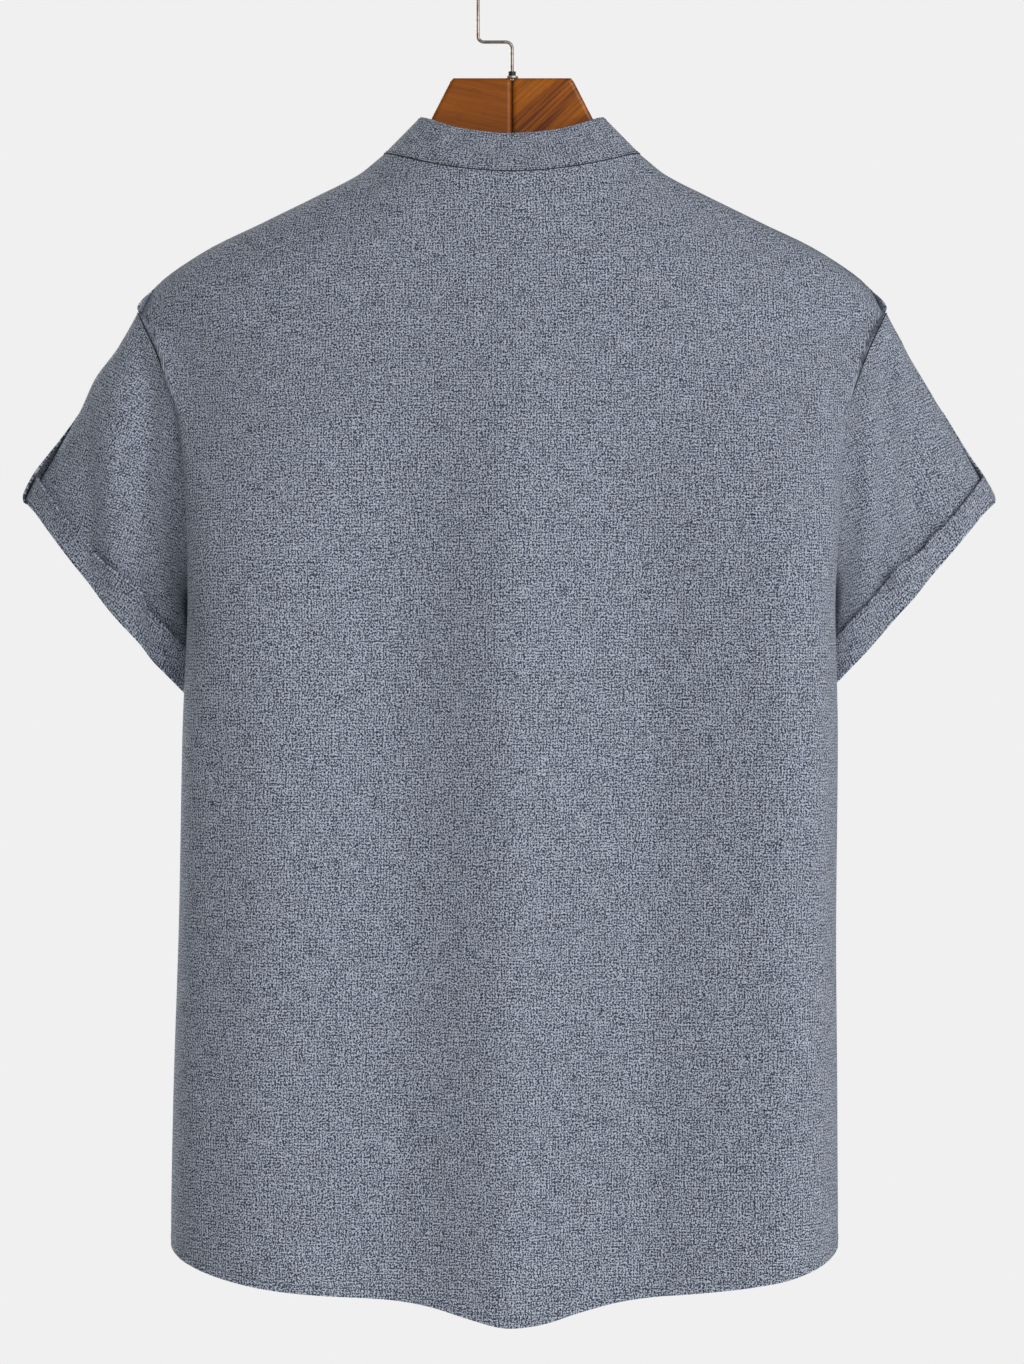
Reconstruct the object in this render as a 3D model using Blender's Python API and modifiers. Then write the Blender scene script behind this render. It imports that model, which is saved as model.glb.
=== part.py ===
"""Mandarin collar shirt with rolled short sleeves, hanging on a wooden hanger.

Units are metres, +Z is up, the shirt's front faces -Y and the wearer's left is +X.
The origin is the highest point inside the hanger's hook, where a rail carries it.
Every cloth piece is a wall built from sections across the body or rings round the arm.
"""

import math

import bmesh
import bpy
import numpy as np
from mathutils import Vector

# ---------------------------------------------------------------- cloth and seams
CLOTH = 0.0012  # wall of one layer of shirt cloth, with its seam allowances
SEAM_GAP = 0.0003  # between two pieces that are sewn together
ARMHOLE_GAP = 0.0007
LAYER_GAP = 0.0003  # between a layer and the one that lies on it

# ---------------------------------------------------------------- torso sizes
NECK_HALF_WIDTH = 0.084
NECK_SIDE_Z = -0.134  # the collar seam at the top of the shoulder
BACK_NECK_Z = -0.151  # the collar seam at the centre back
FRONT_NECK_Z = -0.212  # the collar seam at the centre front
SHOULDER_TIP_Z = -0.2385
UNDERARM_Z = -0.430
SHOULDER_TIP_X = 0.246
SHOULDER_EDGE = (  # height and x of the shoulder seam near its end
    (-0.1340, 0.0840),
    (-0.1490, 0.1030),
    (-0.1620, 0.1290),
    (-0.1760, 0.1575),
    (-0.1890, 0.1830),
    (-0.2020, 0.2075),
    (-0.2150, 0.2265),
    (-0.2280, 0.2395),
    (-0.2385, 0.2460),
)
SHOULDER_EASE = 8  # rounds of evening out the cloth's turn at the shoulder tip
SHOULDER_EASE_ROWS = 6
SWAY = 0.0050  # the hem hangs this much towards the wearer's left
UNDERARM_X = 0.197
ARMHOLE_HALF_DEPTH = 0.060
ARMHOLE_NARROW_TOP = 0.36  # share by which the armhole is narrower near the shoulder
ARMHOLE_SCOOP = 0.014  # how far the armhole's middle is cut in towards the body
SIDE_HEM_Z = -0.831
BACK_HEM_Z = -0.8745
FRONT_HEM_Z = -0.858
HEM_CURVE = 2.5
TAIL_DROP = 0.0150  # the tail hangs this much lower near the centre back
TAIL_X = -0.0080
TAIL_WIDTH = 0.046

# Height of a level section, half width, swell of the corner past the side seam, depth
# of the back and of the front, and the corner's two powers.
SECTIONS = {
    "columns": ("z", "half", "swell", "back", "front", "square", "soft"),
    "rows": (
        (-0.1340, 0.0840, 0.0000, 0.0420, 0.0440, 2.0, 0.62),
        (-0.1490, 0.1030, 0.0000, 0.0460, 0.0480, 2.0, 0.62),
        (-0.1620, 0.1290, 0.0000, 0.0495, 0.0515, 2.0, 0.62),
        (-0.1760, 0.1575, 0.0000, 0.0530, 0.0550, 2.0, 0.62),
        (-0.1890, 0.1830, 0.0000, 0.0565, 0.0580, 2.0, 0.62),
        (-0.2020, 0.2070, 0.0000, 0.0600, 0.0610, 2.0, 0.63),
        (-0.2150, 0.2240, 0.0000, 0.0635, 0.0645, 2.0, 0.64),
        (-0.2280, 0.2335, 0.0000, 0.0670, 0.0680, 2.1, 0.65),
        (-0.2385, 0.2370, 0.0000, 0.0700, 0.0705, 2.2, 0.65),
        (-0.2700, 0.2290, 0.0010, 0.0785, 0.0775, 2.8, 0.62),
        (-0.3100, 0.2130, 0.0060, 0.0870, 0.0855, 3.8, 0.58),
        (-0.3500, 0.2030, 0.0130, 0.0930, 0.0915, 6.2, 0.54),
        (-0.4300, 0.1970, 0.0170, 0.0985, 0.0970, 12.0, 0.50),
        (-0.5200, 0.1908, 0.0258, 0.1005, 0.0985, 10.0, 0.50),
        (-0.6200, 0.1910, 0.0263, 0.1015, 0.0990, 8.0, 0.50),
        (-0.7500, 0.1938, 0.0265, 0.1030, 0.1000, 7.5, 0.50),
        (-0.9100, 0.1970, 0.0265, 0.1040, 0.1010, 7.0, 0.50),
    ),
}
SWELL_PEAK = 0.800  # share of the way to the side seam where the corner is widest

# Soft folds that hang down the torso: the face, x at the top and at the hem, half
# width, height where the fold starts, and how far it stands out at the hem.
TORSO_FOLDS = {
    "columns": ("face", "x_top", "x_hem", "width", "start", "height"),
    "rows": (
        ("back", 0.030, 0.037, 0.021, -0.180, -0.0170),
        ("back", -0.034, -0.030, 0.034, -0.190, 0.0100),
        ("back", -0.088, -0.140, 0.031, -0.210, -0.0150),
        ("back", 0.118, 0.125, 0.040, -0.260, 0.0060),
        ("back", -0.185, -0.192, 0.018, -0.300, 0.0050),
        ("front", 0.082, 0.098, 0.027, -0.230, -0.0140),
        ("front", -0.076, -0.090, 0.025, -0.240, -0.0150),
        ("front", 0.150, 0.160, 0.026, -0.320, 0.0060),
        ("front", -0.144, -0.150, 0.028, -0.300, 0.0070),
    ),
}
FOLD_RUN = 0.55  # a fold reaches its full height this far below its start

# ---------------------------------------------------------------- sleeves and cuffs
CUFF_OUTER = {  # the sleeve's end, top of the arm
    "left": Vector((0.3175, -0.004, -0.3600)),
    "right": Vector((0.3155, -0.004, -0.3600)),
}
CUFF_INNER = {  # the sleeve's end, under the arm
    "left": Vector((0.2080, 0.000, -0.4945)),
    "right": Vector((0.2055, 0.000, -0.4885)),
}
CUFF_BOW = {"left": 0.0018, "right": 0.0}  # the end is longer behind and before the arm
CUFF_HALF_DEPTH = 0.030
UNDERARM_ROOM = 0.013  # the sleeve leaves the underarm outwards by this much
UNDERARM_LIFT = 0.0075  # and this much upwards
CUFF_HEIGHT = (0.014, 0.022)  # of the turned-up band, on the outer and the inner half
CUFF_WALL = 0.0018  # the turned-up band is two layers and the hem in them
CUFF_GAP = 0.0010
CUFF_STAND = 0.0005  # its upper edge stands this much off the sleeve
CUFF_FLARE = 0.0050  # and this much more on the outer half, behind the arm
CUFF_OVERHANG = 0.0016  # the folded lower edge lies past the sleeve's end

# Folds that hang from the shoulder tip: x in the upright plane, half width, and how
# far each stands out. They are drawn on the back and on the front of both sleeves.
SLEEVE_FOLDS = {
    "columns": ("x", "width", "height"),
    "rows": (
        (0.2540, 0.0135, -0.0080),
        (0.2320, 0.0120, 0.0045),
        (0.2860, 0.0160, 0.0030),
    ),
}

# ---------------------------------------------------------------- roll tabs
TAB_WALL = 0.0014
TAB_BACK_EDGE = {"left": 0.000, "right": -0.008}  # y of the tab's hind edge
TAB_WIDTH = 0.020
TAB_SLANT = {"left": 0.008, "right": 0.0}  # the buttoned end lies further forward
TAB_POINT = 0.035  # how far the buttoned end is pointed, as a share of the sleeve
# The tab's path, from its buttoned end to where it is sewn inside the sleeve: share of
# the sleeve's length, and how far it lies out from the middle of each sleeve's wall.
TAB_PATH = {
    "columns": ("down", "left", "right"),
    "rows": (
        (0.50, 0.0024, 0.0028),
        (0.60, 0.0024, 0.0030),
        (0.70, 0.0028, 0.0034),
        (0.80, 0.0045, 0.0042),
        (0.88, 0.0061, 0.0055),
        (0.94, 0.0062, 0.0057),
        (0.98, 0.0058, 0.0055),
        (1.014, 0.0048, 0.0045),
        (1.030, 0.0030, 0.0028),
        (1.031, 0.0008, 0.0008),
        (1.018, -0.0014, -0.0014),
        (0.98, -0.0021, -0.0021),
        (0.90, -0.0019, -0.0019),
    ),
}

# ---------------------------------------------------------------- front opening
OVERLAP = 0.015  # each front reaches this far past the centre
UNDERLAP_DROP = 0.0032  # the right front lies this much further in
PLACKET_END = 0.0012  # the strip stops this short of the neck and the hem
BUTTON_RADIUS = 0.0055
BUTTON_THICKNESS = 0.0022
BUTTON_BEVEL = 0.0006
BUTTON_GAP = 0.0006
FIRST_BUTTON_Z = -0.262
BUTTON_PITCH = 0.096
BUTTON_COUNT = 6

# ---------------------------------------------------------------- collar
COLLAR_HEIGHT = 0.034
COLLAR_WALL = 0.0018
COLLAR_TOP_HALF_WIDTH = 0.0605
COLLAR_KEPT_DEPTH = (0.65, 0.88)  # of the neck's depth at the band's top, back and front
COLLAR_FRONT_X = 0.0022  # the band's ends stand this far from the centre
COLLAR_CORNER = 0.008  # radius of the ends' upper corners
NECK_AXIS_Y = -0.012

# ---------------------------------------------------------------- hanger and hook
BOARD_HALF_THICKNESS = 0.0065
BOARD_BEVEL = 0.0028
BOARD_JOINT_GAP = 0.0003  # the hanger's two halves meet at the centre
BOARD_TOP_Z = -0.0838
BOARD_UNDER_RIDGE = 0.0042  # the wood's top edge below the middle of the cloth
# Outline of one half above the shoulder: x and z.
BOARD_NECK = ((0.0388, -0.0838), (0.0408, -0.0862), (0.0558, -0.1155), (0.0640, -0.1250))
BOARD_ARM_X = (0.086, 0.105, 0.125, 0.145, 0.165, 0.185, 0.197)
BOARD_TIP = ((0.2052, -0.2065), (0.2060, -0.2150), (0.2005, -0.2205))
BOARD_UNDERSIDE = ((0.170, -0.2110), (0.120, -0.1900), (0.070, -0.1690), (0.030, -0.1580))
BOARD_BOTTOM_Z = -0.1560  # under the centre
WIRE_RADIUS = 0.0011
HOOK_RADIUS = 0.0225
HOOK_JOG_Z = -0.0594  # the wire steps sideways here, from the shank to the hook
HOOK_BEND = 0.0040
HOOK_TIP_DROP = 0.0140
FERRULE_RINGS = ((0.0040, 0.0004), (0.0040, 0.0016), (0.0025, 0.0019), (0.0025, 0.0048))
FERRULE_BORE = 0.0015

# ---------------------------------------------------------------- mesh fineness
ROWS_BELOW_ARM = 12
ROWS_AT_ARM = 16
ROWS_ABOVE_ARM = 8
BACK_COLUMNS = 26
FRONT_COLUMNS = 14
SLEEVE_ROWS = 10
CUFF_ROWS = 3
COLLAR_ROWS = 3
TAB_COLUMNS = 6

CLOTH_BLUE = (0.20, 0.24, 0.31, 1.0)
BUTTON_BLUE = (0.09, 0.11, 0.15, 1.0)
WOOD_BROWN = (0.26, 0.06, 0.008, 1.0)
WIRE_GREY = (0.42, 0.38, 0.35, 1.0)


# ================================================================ small maths
def smooth_through(at, xs, ys):
    """Value at a height on a curve through a table that never overshoots it."""
    order = np.argsort(xs)
    xs, ys = np.asarray(xs, float)[order], np.asarray(ys, float)[order]
    steps = np.diff(xs)
    slopes = np.diff(ys) / steps
    tangents = np.zeros_like(ys)
    tangents[0], tangents[-1] = slopes[0], slopes[-1]
    for i in range(1, len(ys) - 1):
        if slopes[i - 1] * slopes[i] > 0:
            before, after = 2 * steps[i] + steps[i - 1], steps[i] + 2 * steps[i - 1]
            tangents[i] = (before + after) / (before / slopes[i - 1] + after / slopes[i])
    at = min(max(at, xs[0]), xs[-1])
    i = min(int(np.searchsorted(xs, at, side="right")) - 1, len(xs) - 2)
    t = (at - xs[i]) / steps[i]
    rise = steps[i] * (tangents[i] * t * (1 - t) ** 2 - tangents[i + 1] * t * t * (1 - t))
    return ys[i] * (1 + 2 * t) * (1 - t) ** 2 + ys[i + 1] * t * t * (3 - 2 * t) + rise


def section_value(column, z):
    rows = SECTIONS["rows"]
    k = SECTIONS["columns"].index(column)
    return smooth_through(z, [row[0] for row in rows], [row[k] for row in rows])


def eased(t):
    """0 before 0, 1 after 1, and smooth between."""
    t = min(max(t, 0.0), 1.0)
    return t * t * (3 - 2 * t)


def bell(distance, width):
    return math.exp(-((distance / width) ** 2))


# ================================================================ torso surface
def armhole_point(turn):
    """The armhole seam of the left arm. turn is 0 at the shoulder tip, pi under the arm
    by way of the back, and 2 pi at the tip again by way of the front."""
    middle_x, middle_z = (SHOULDER_TIP_X + UNDERARM_X) / 2, (SHOULDER_TIP_Z + UNDERARM_Z) / 2
    half_x, half_z = (SHOULDER_TIP_X - UNDERARM_X) / 2, (SHOULDER_TIP_Z - UNDERARM_Z) / 2
    narrow = 1 - ARMHOLE_NARROW_TOP * (1 + math.cos(turn)) / 2
    return Vector(
        (
            middle_x + half_x * math.cos(turn) - ARMHOLE_SCOOP * math.sin(turn) ** 2,
            ARMHOLE_HALF_DEPTH * narrow * math.sin(turn),
            middle_z + half_z * math.cos(turn),
        )
    )


def panel_edge(edge_z):
    """x and depth of the outermost line of a torso panel, and the sine of the armhole's
    turn there: side seam and shoulder seam have depth 0 and sine 0."""
    if UNDERARM_Z < edge_z < SHOULDER_TIP_Z:
        middle_z = (SHOULDER_TIP_Z + UNDERARM_Z) / 2
        turn = math.acos((edge_z - middle_z) / (SHOULDER_TIP_Z - middle_z))
        edge = armhole_point(turn)
        return edge.x, edge.y, math.sin(turn)
    if edge_z >= SHOULDER_TIP_Z:
        heights, edges = zip(*SHOULDER_EDGE)
        return smooth_through(edge_z, heights, edges), 0.0, 0.0
    return section_value("half", edge_z), 0.0, 0.0


def fold_height(face, x, z):
    """How far the torso's folds stand out at this place."""
    total = 0.0
    for fold_face, x_top, x_hem, width, start, height in TORSO_FOLDS["rows"]:
        if fold_face != face or z > start:
            continue
        down = (start - z) / FOLD_RUN
        middle = x_top + (x_hem - x_top) * min(down, 1.2)
        total += height * eased(0.85 * down) * bell(x - middle, width)
    return total


def torso_point(face, across, z, edge):
    """A point of the torso. across is 0 at the centre and 1 or -1 at the panel's outer
    edge, and edge is panel_edge of the row that the point belongs to, with its height."""
    edge_x, edge_depth, edge_sine, edge_z = edge
    share = abs(across)
    sine = math.sin(math.pi / 2 * share)
    before, after = share / SWELL_PEAK, (1 - share) / (1 - SWELL_PEAK)
    swell = section_value("swell", z) * before ** (SWELL_PEAK / (1 - SWELL_PEAK)) * after
    size = section_value("half", z) * sine + swell
    size += (edge_x - section_value("half", edge_z)) * share**8
    rounding = max(1 - sine ** section_value("square", z), 0.0) ** section_value("soft", z)
    y = section_value(face, z) * rounding
    y += edge_depth * (1 - rounding) ** (1 + 4 * (1 - edge_sine) ** 2)
    y -= rounding * edge_depth * edge_sine * (1 - rounding) * 0.4
    y += fold_height(face, math.copysign(size, across), z) * eased(2.2 * rounding)
    x = math.copysign(size, across) + SWAY * eased((UNDERARM_Z + 0.03 - z) / 0.45)
    return Vector((x, y if face == "back" else -y, z))


def neckline_z(face, x):
    """Height of the collar seam above a place across the neck."""
    share = min(abs(x) / NECK_HALF_WIDTH, 1.0)
    if face == "back":
        return BACK_NECK_Z + (NECK_SIDE_Z - BACK_NECK_Z) * share**2
    return FRONT_NECK_Z + (NECK_SIDE_Z - FRONT_NECK_Z) * (1 - math.sqrt(1 - share**2.2))


def neckline_across(face, share):
    """(across, z) of the collar seam, from the centre (0) to the top of the shoulder (1)."""
    x = NECK_HALF_WIDTH * math.sin(math.pi / 2 * share)
    z = neckline_z(face, x)
    sine = min(x / section_value("half", z), 1.0)
    return math.asin(sine) * 2 / math.pi, z


def edge_heights():
    """Heights of the rows at the panel's outer edge, from the hem to the neck."""
    low = np.linspace(SIDE_HEM_Z, UNDERARM_Z, ROWS_BELOW_ARM + 1)[:-1]
    turns = np.linspace(math.pi, 0, ROWS_AT_ARM + 1)[:-1]
    arm = [armhole_point(turn).z for turn in turns]
    top = np.linspace(SHOULDER_TIP_Z, NECK_SIDE_Z, ROWS_ABOVE_ARM + 1)
    return [*low, *arm, *top]


def centre_height(face, edge_z):
    """Height at the centre of the row that has this height at its outer edge."""
    at_edge = (SIDE_HEM_Z, UNDERARM_Z, SHOULDER_TIP_Z, NECK_SIDE_Z)
    if face == "back":
        at_centre = (BACK_HEM_Z, -0.457, -0.262, BACK_NECK_Z)
    else:
        at_centre = (FRONT_HEM_Z, -0.470, -0.306, FRONT_NECK_Z)
    return smooth_through(edge_z, at_edge, at_centre)


def panel_point(face, share, edge_z):
    """A point of a front or back panel. share runs from 0 at the centre to 1 or -1 at the
    outer edge, which it meets at edge_z."""
    size = abs(share)
    centre_z = centre_height(face, edge_z)
    plain_z = centre_z + (edge_z - centre_z) * size**HEM_CURVE
    neck_across, neck_z = neckline_across(face, size)
    rise = eased((edge_z - SHOULDER_TIP_Z) / (NECK_SIDE_Z - SHOULDER_TIP_Z))
    across = size + (neck_across - size) * rise
    z = plain_z + (neck_z - plain_z) * rise
    if face == "back":
        near_hem = eased(1 - (edge_z - SIDE_HEM_Z) / 0.12)
        x = section_value("half", edge_z) * math.sin(math.pi / 2 * share)
        z -= TAIL_DROP * near_hem * bell(x - TAIL_X, TAIL_WIDTH)
    return torso_point(face, math.copysign(across, share), z, (*panel_edge(edge_z), edge_z))


# ================================================================ walls from grids
def grid_normals(points, ring, outward):
    """Unit normals of a grid of points. outward is 1 or -1, for the side that shows."""
    if ring:
        along = np.roll(points, -1, axis=1) - np.roll(points, 1, axis=1)
    else:
        along = np.gradient(points, axis=1)
    up = np.gradient(points, axis=0)
    normals = outward * np.cross(up, along)
    return normals / np.linalg.norm(normals, axis=2, keepdims=True)


def add_wall(name, outer, inner, ring, material):
    """A closed wall between two grids of points, which both run from one end to the other.
    A ring grid's last column joins its first."""
    rows, columns = outer.shape[:2]
    mesh = bmesh.new()
    sheets = []
    for sheet in (outer, inner):
        sheets.append([[mesh.verts.new(point) for point in row] for row in sheet])
    front, back = sheets
    steps = columns if ring else columns - 1
    for i in range(rows - 1):
        for j in range(steps):
            k = (j + 1) % columns
            mesh.faces.new((front[i][j], front[i][k], front[i + 1][k], front[i + 1][j]))
            mesh.faces.new((back[i][j], back[i + 1][j], back[i + 1][k], back[i][k]))
    for i in (0, rows - 1):
        for j in range(steps):
            k = (j + 1) % columns
            mesh.faces.new((front[i][j], back[i][j], back[i][k], front[i][k]))
    if not ring:
        for j in (0, columns - 1):
            for i in range(rows - 1):
                mesh.faces.new((front[i][j], front[i + 1][j], back[i + 1][j], back[i][j]))
    bmesh.ops.recalc_face_normals(mesh, faces=mesh.faces)
    return add_object(name, mesh, material)


def add_object(name, mesh, material):
    """Turns a bmesh into a smooth-shaded object of the shirt's collection."""
    data = bpy.data.meshes.new(name)
    mesh.to_mesh(data)
    mesh.free()
    data.materials.append(material)
    data.shade_smooth()
    data.set_sharp_from_angle(angle=math.radians(40))
    obj = bpy.data.objects.new(name, data)
    bpy.data.collections["shirt_on_hanger"].objects.link(obj)
    return obj


def wall_of(name, points, normals, material, wall=CLOTH, ring=False):
    return add_wall(name, points + normals * wall / 2, points - normals * wall / 2, ring, material)


def is_at_arm(row):
    """Whether this row of a torso panel ends at the armhole, and not at a seam's end."""
    return ROWS_BELOW_ARM < row < ROWS_BELOW_ARM + ROWS_AT_ARM


def even_out(points, edges):
    """Softens the cloth's turn at the height of the shoulder tip, along each column."""
    tip = ROWS_BELOW_ARM + ROWS_AT_ARM
    free = np.setdiff1d(np.arange(points.shape[1]), np.arange(points.shape[1])[list(edges)])
    for _ in range(SHOULDER_EASE):
        steps = np.linalg.norm(np.diff(points[:, free], axis=0), axis=2)
        y = points[:, free, 1]
        for row in range(tip - SHOULDER_EASE_ROWS, tip + SHOULDER_EASE_ROWS):
            below, above = steps[row - 1], steps[row]
            level = (y[row - 1] * above + y[row + 1] * below) / (above + below)
            strength = 0.5 * (1 - ((row - tip) / SHOULDER_EASE_ROWS) ** 2)
            points[row, free, 1] += (level - y[row]) * strength


def torso_grid(face, shares_at, outward, edges):
    """Points and normals of a torso panel. edges are its columns that are sewn: there, at
    the side and the shoulder, it keeps half a seam gap and its edge is cut square."""
    heights = edge_heights()
    points = np.array([[panel_point(face, share, z) for share in shares_at(z)] for z in heights])
    even_out(points, edges)
    normals = grid_normals(points, False, outward)
    for column in edges:
        for row in range(len(heights)):
            if not is_at_arm(row):
                points[row, column, 1] += SEAM_GAP / 2 * (1 if face == "back" else -1)
                normals[row, column, 1] = 0
                normals[row, column] /= np.linalg.norm(normals[row, column])
    return points, normals


def share_at_x(edge_z, x):
    """The share at which a front's row is this far from its centre line."""
    centre = panel_point("front", 0, edge_z).x
    low, high = 0.0, 0.3
    for _ in range(30):
        middle = (low + high) / 2
        if panel_point("front", middle, edge_z).x - centre < x:
            low = middle
        else:
            high = middle
    return (low + high) / 2


def front_grid(side):
    """Points and normals of a front. side is 1 for the wearer's left, which lies on top.
    Its first three columns are the placket's edges and middle."""

    def shares_at(edge_z):
        near = share_at_x(edge_z, OVERLAP)
        rest = np.linspace(near, 1, FRONT_COLUMNS - 1)
        return side * np.array([-near, 0, *rest])

    points, normals = torso_grid("front", shares_at, -side, (-1,))
    if side < 0:
        for row in points:
            for point in row:
                lap = 1 - eased((-point[0] - 1.1 * OVERLAP) / OVERLAP)
                point[1] += UNDERLAP_DROP * lap
    return points, normals


# ================================================================ sleeves and cuffs
# These describe the left sleeve. The right one is its mirror image, with its own cuff.
def cuff_point(which, turn):
    """The sleeve's end, round the same turns as the armhole."""
    outer, inner = CUFF_OUTER[which], CUFF_INNER[which]
    middle, half = (outer + inner) / 2, (outer - inner) / 2
    bow = CUFF_BOW[which] * math.sin(turn) ** 2
    beyond = Vector((half.z, 0, -half.x)).normalized() * bow
    depth = Vector((0, CUFF_HALF_DEPTH * math.sin(turn), 0))
    return middle + half * math.cos(turn) + depth + beyond


def sleeve_length(which, turn):
    return (cuff_point(which, turn) - armhole_point(turn)).length


def sleeve_point(which, turn, down):
    """A point of a sleeve. down is 0 at the armhole and 1 at the cuff's edge."""
    point = armhole_point(turn).lerp(cuff_point(which, turn), down)
    between = 3.5 * (1 - min(down, 1.0)) ** 2 * max(down, 0.0) ** 0.5
    low = ((1 - math.cos(turn)) / 2) ** 2 * (0.30 + 0.70 * min(1, 3 * abs(math.sin(turn))))
    point.x += UNDERARM_ROOM * low * between
    point.z += UNDERARM_LIFT * low * between
    folds = sum(
        height * bell(point.x - x, width) for x, width, height in SLEEVE_FOLDS["rows"]
    )
    folds *= eased(3 * down) * (1 - 0.5 * eased((down - 0.6) / 0.4))
    folds *= min(1, 1.6 * abs(math.sin(turn)))
    point.y += math.copysign(folds, math.sin(turn))
    return point


def sleeve_normal(which, turn, down):
    """The direction out of a sleeve at one of its points."""
    step = 0.01
    round_arm = sleeve_point(which, turn + step, down) - sleeve_point(which, turn - step, down)
    along = sleeve_point(which, turn, down + step)
    along = along - sleeve_point(which, turn, max(down - step, 0))
    return along.cross(round_arm).normalized()


def sleeve_grid(which):
    """Middle points of a sleeve, in rings from the armhole to the cuff."""
    turns = [2 * math.pi * k / (2 * ROWS_AT_ARM) for k in range(2 * ROWS_AT_ARM)]
    downs = np.linspace(0, 1, SLEEVE_ROWS) ** 1.1
    return np.array([[sleeve_point(which, turn, down) for turn in turns] for down in downs])


def mirrored(points):
    return points * np.array((-1.0, 1.0, 1.0))


def armhole_rows():
    """For each turn round the armhole: the panel it meets and that panel's row."""
    low, count = ROWS_BELOW_ARM, ROWS_AT_ARM
    back = [("back", low + count - k) for k in range(count + 1)]
    return back + [("front", low + k) for k in range(1, count)]


def seam_normals(side, panels, sleeve_normals):
    """Gives the armhole's two edges one shared thickness direction, halfway between the
    panel's and the sleeve's, so that the cut faces lie against each other."""
    directions = []
    for k, (face, row) in enumerate(armhole_rows()):
        column = -1 if face == "front" or side > 0 else 0
        normals = panels[face][1]
        own = normals[row, column].copy()
        halfway = own + sleeve_normals[0, k]
        if not is_at_arm(row):
            halfway[1] = 0
        halfway /= np.linalg.norm(halfway)
        halfway *= min(1 / max(halfway @ own, 0.1), 1.4)
        directions.append(halfway)
        normals[row, column] = halfway
        if not is_at_arm(row):
            panels["front"][1][row, -1] = halfway
    sleeve_normals[0] = directions


def open_armhole(side, panels, points):
    """Moves the sleeve's first ring a seam gap away from the panels' edges."""
    for k, (face, row) in enumerate(armhole_rows()):
        column = -1 if face == "front" or side > 0 else 0
        inner = 1 if column == 0 else -2
        grid = panels[face][0]
        away = grid[row, column] - grid[row, inner]
        away = away / np.linalg.norm(away)
        ahead = points[1, k] - points[0, k]
        ahead = ahead / np.linalg.norm(ahead)
        away = away + ahead
        if not is_at_arm(row):
            away[1] = 0
        points[0, k] += ARMHOLE_GAP * away / np.linalg.norm(away)


def add_torso_and_sleeves(material):
    """Both fronts, the back and both sleeves, which share their seam directions."""
    shares = np.linspace(-1, 1, BACK_COLUMNS + 1)
    back = torso_grid("back", lambda edge_z: shares, 1, (0, -1))
    fronts = {}
    for name, side in (("left", 1), ("right", -1)):
        front = fronts[name] = front_grid(side)
        panels = {"back": back, "front": front}
        points = sleeve_grid(name)
        if side < 0:
            points = mirrored(points)
        normals = grid_normals(points, True, side)
        open_armhole(side, panels, points)
        seam_normals(side, panels, normals)
        wall_of("front_" + name, *front, material)
        wall_of("sleeve_" + name, points, normals, material, ring=True)
    wall_of("back", *back, material)
    return fronts["left"]


def cuff_height(turn):
    """The turned-up band is lower on the outer half of the arm than under it."""
    outer, inner = CUFF_HEIGHT
    degrees = abs(math.degrees(math.remainder(turn, 2 * math.pi)))
    return outer + (inner - outer) * eased((degrees - 60) / 40)


def add_cuff(which, side, material):
    """A turned-up band, made from the sleeve's points moved out."""
    turns = [math.pi * k / ROWS_AT_ARM for k in range(2 * ROWS_AT_ARM)]
    middle, normals = [], []
    for step in range(CUFF_ROWS + 1):
        up = 1 - step / CUFF_ROWS
        ring, ring_normals = [], []
        for turn in turns:
            length = sleeve_length(which, turn)
            down = 1 + (CUFF_OVERHANG * (1 - up) - cuff_height(turn) * up) / length
            normal = sleeve_normal(which, turn, down)
            outer = ((1 + math.cos(turn)) / 2) ** 0.5
            stand = (CUFF_STAND + CUFF_FLARE * outer * max(math.sin(turn), 0)) * up**1.5
            out = (CLOTH + CUFF_WALL) / 2 + CUFF_GAP + stand
            ring.append(sleeve_point(which, turn, down) + normal * out)
            ring_normals.append(normal)
        middle.append(ring)
        normals.append(ring_normals)
    middle, normals = np.array(middle), np.array(normals)
    if side < 0:
        middle, normals = mirrored(middle), mirrored(normals)
    wall_of("cuff_" + which, middle, normals, material, CUFF_WALL, ring=True)


def turn_at_depth(which, down, y):
    """The turn near the sleeve's top line where its surface has this y."""
    low, high = -1.5, 0.5
    for _ in range(30):
        middle = (low + high) / 2
        if sleeve_point(which, middle, down).y < y:
            low = middle
        else:
            high = middle
    return (low + high) / 2


def tab_y(which, down, across):
    """Where the tab lies: across is -1 at its front edge and 1 at its hind edge."""
    slant = TAB_SLANT[which] * eased((0.9 - down) / 0.4)
    return TAB_BACK_EDGE[which] - slant - TAB_WIDTH * (1 - across) / 2


def add_tab(which, side, material):
    """The strap that holds the turned-up cuff, made from the sleeve's points moved out."""
    middle = []
    column = TAB_PATH["columns"].index(which)
    for step, place in enumerate(TAB_PATH["rows"]):
        down, out = place[0], place[column]
        row = []
        for across in np.linspace(-1, 1, TAB_COLUMNS + 1):
            y = tab_y(which, down, across)
            own_down = down + (TAB_POINT * across**2 if step == 0 else 0)
            turn = turn_at_depth(which, own_down, y)
            normal = sleeve_normal(which, turn, own_down)
            row.append(sleeve_point(which, turn, own_down) + normal * out)
        middle.append(row)
    middle = np.array(middle)
    if side < 0:
        middle = mirrored(middle)
    normals = grid_normals(middle, False, -side)
    wall_of("tab_" + which, middle, normals, material, TAB_WALL)


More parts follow.
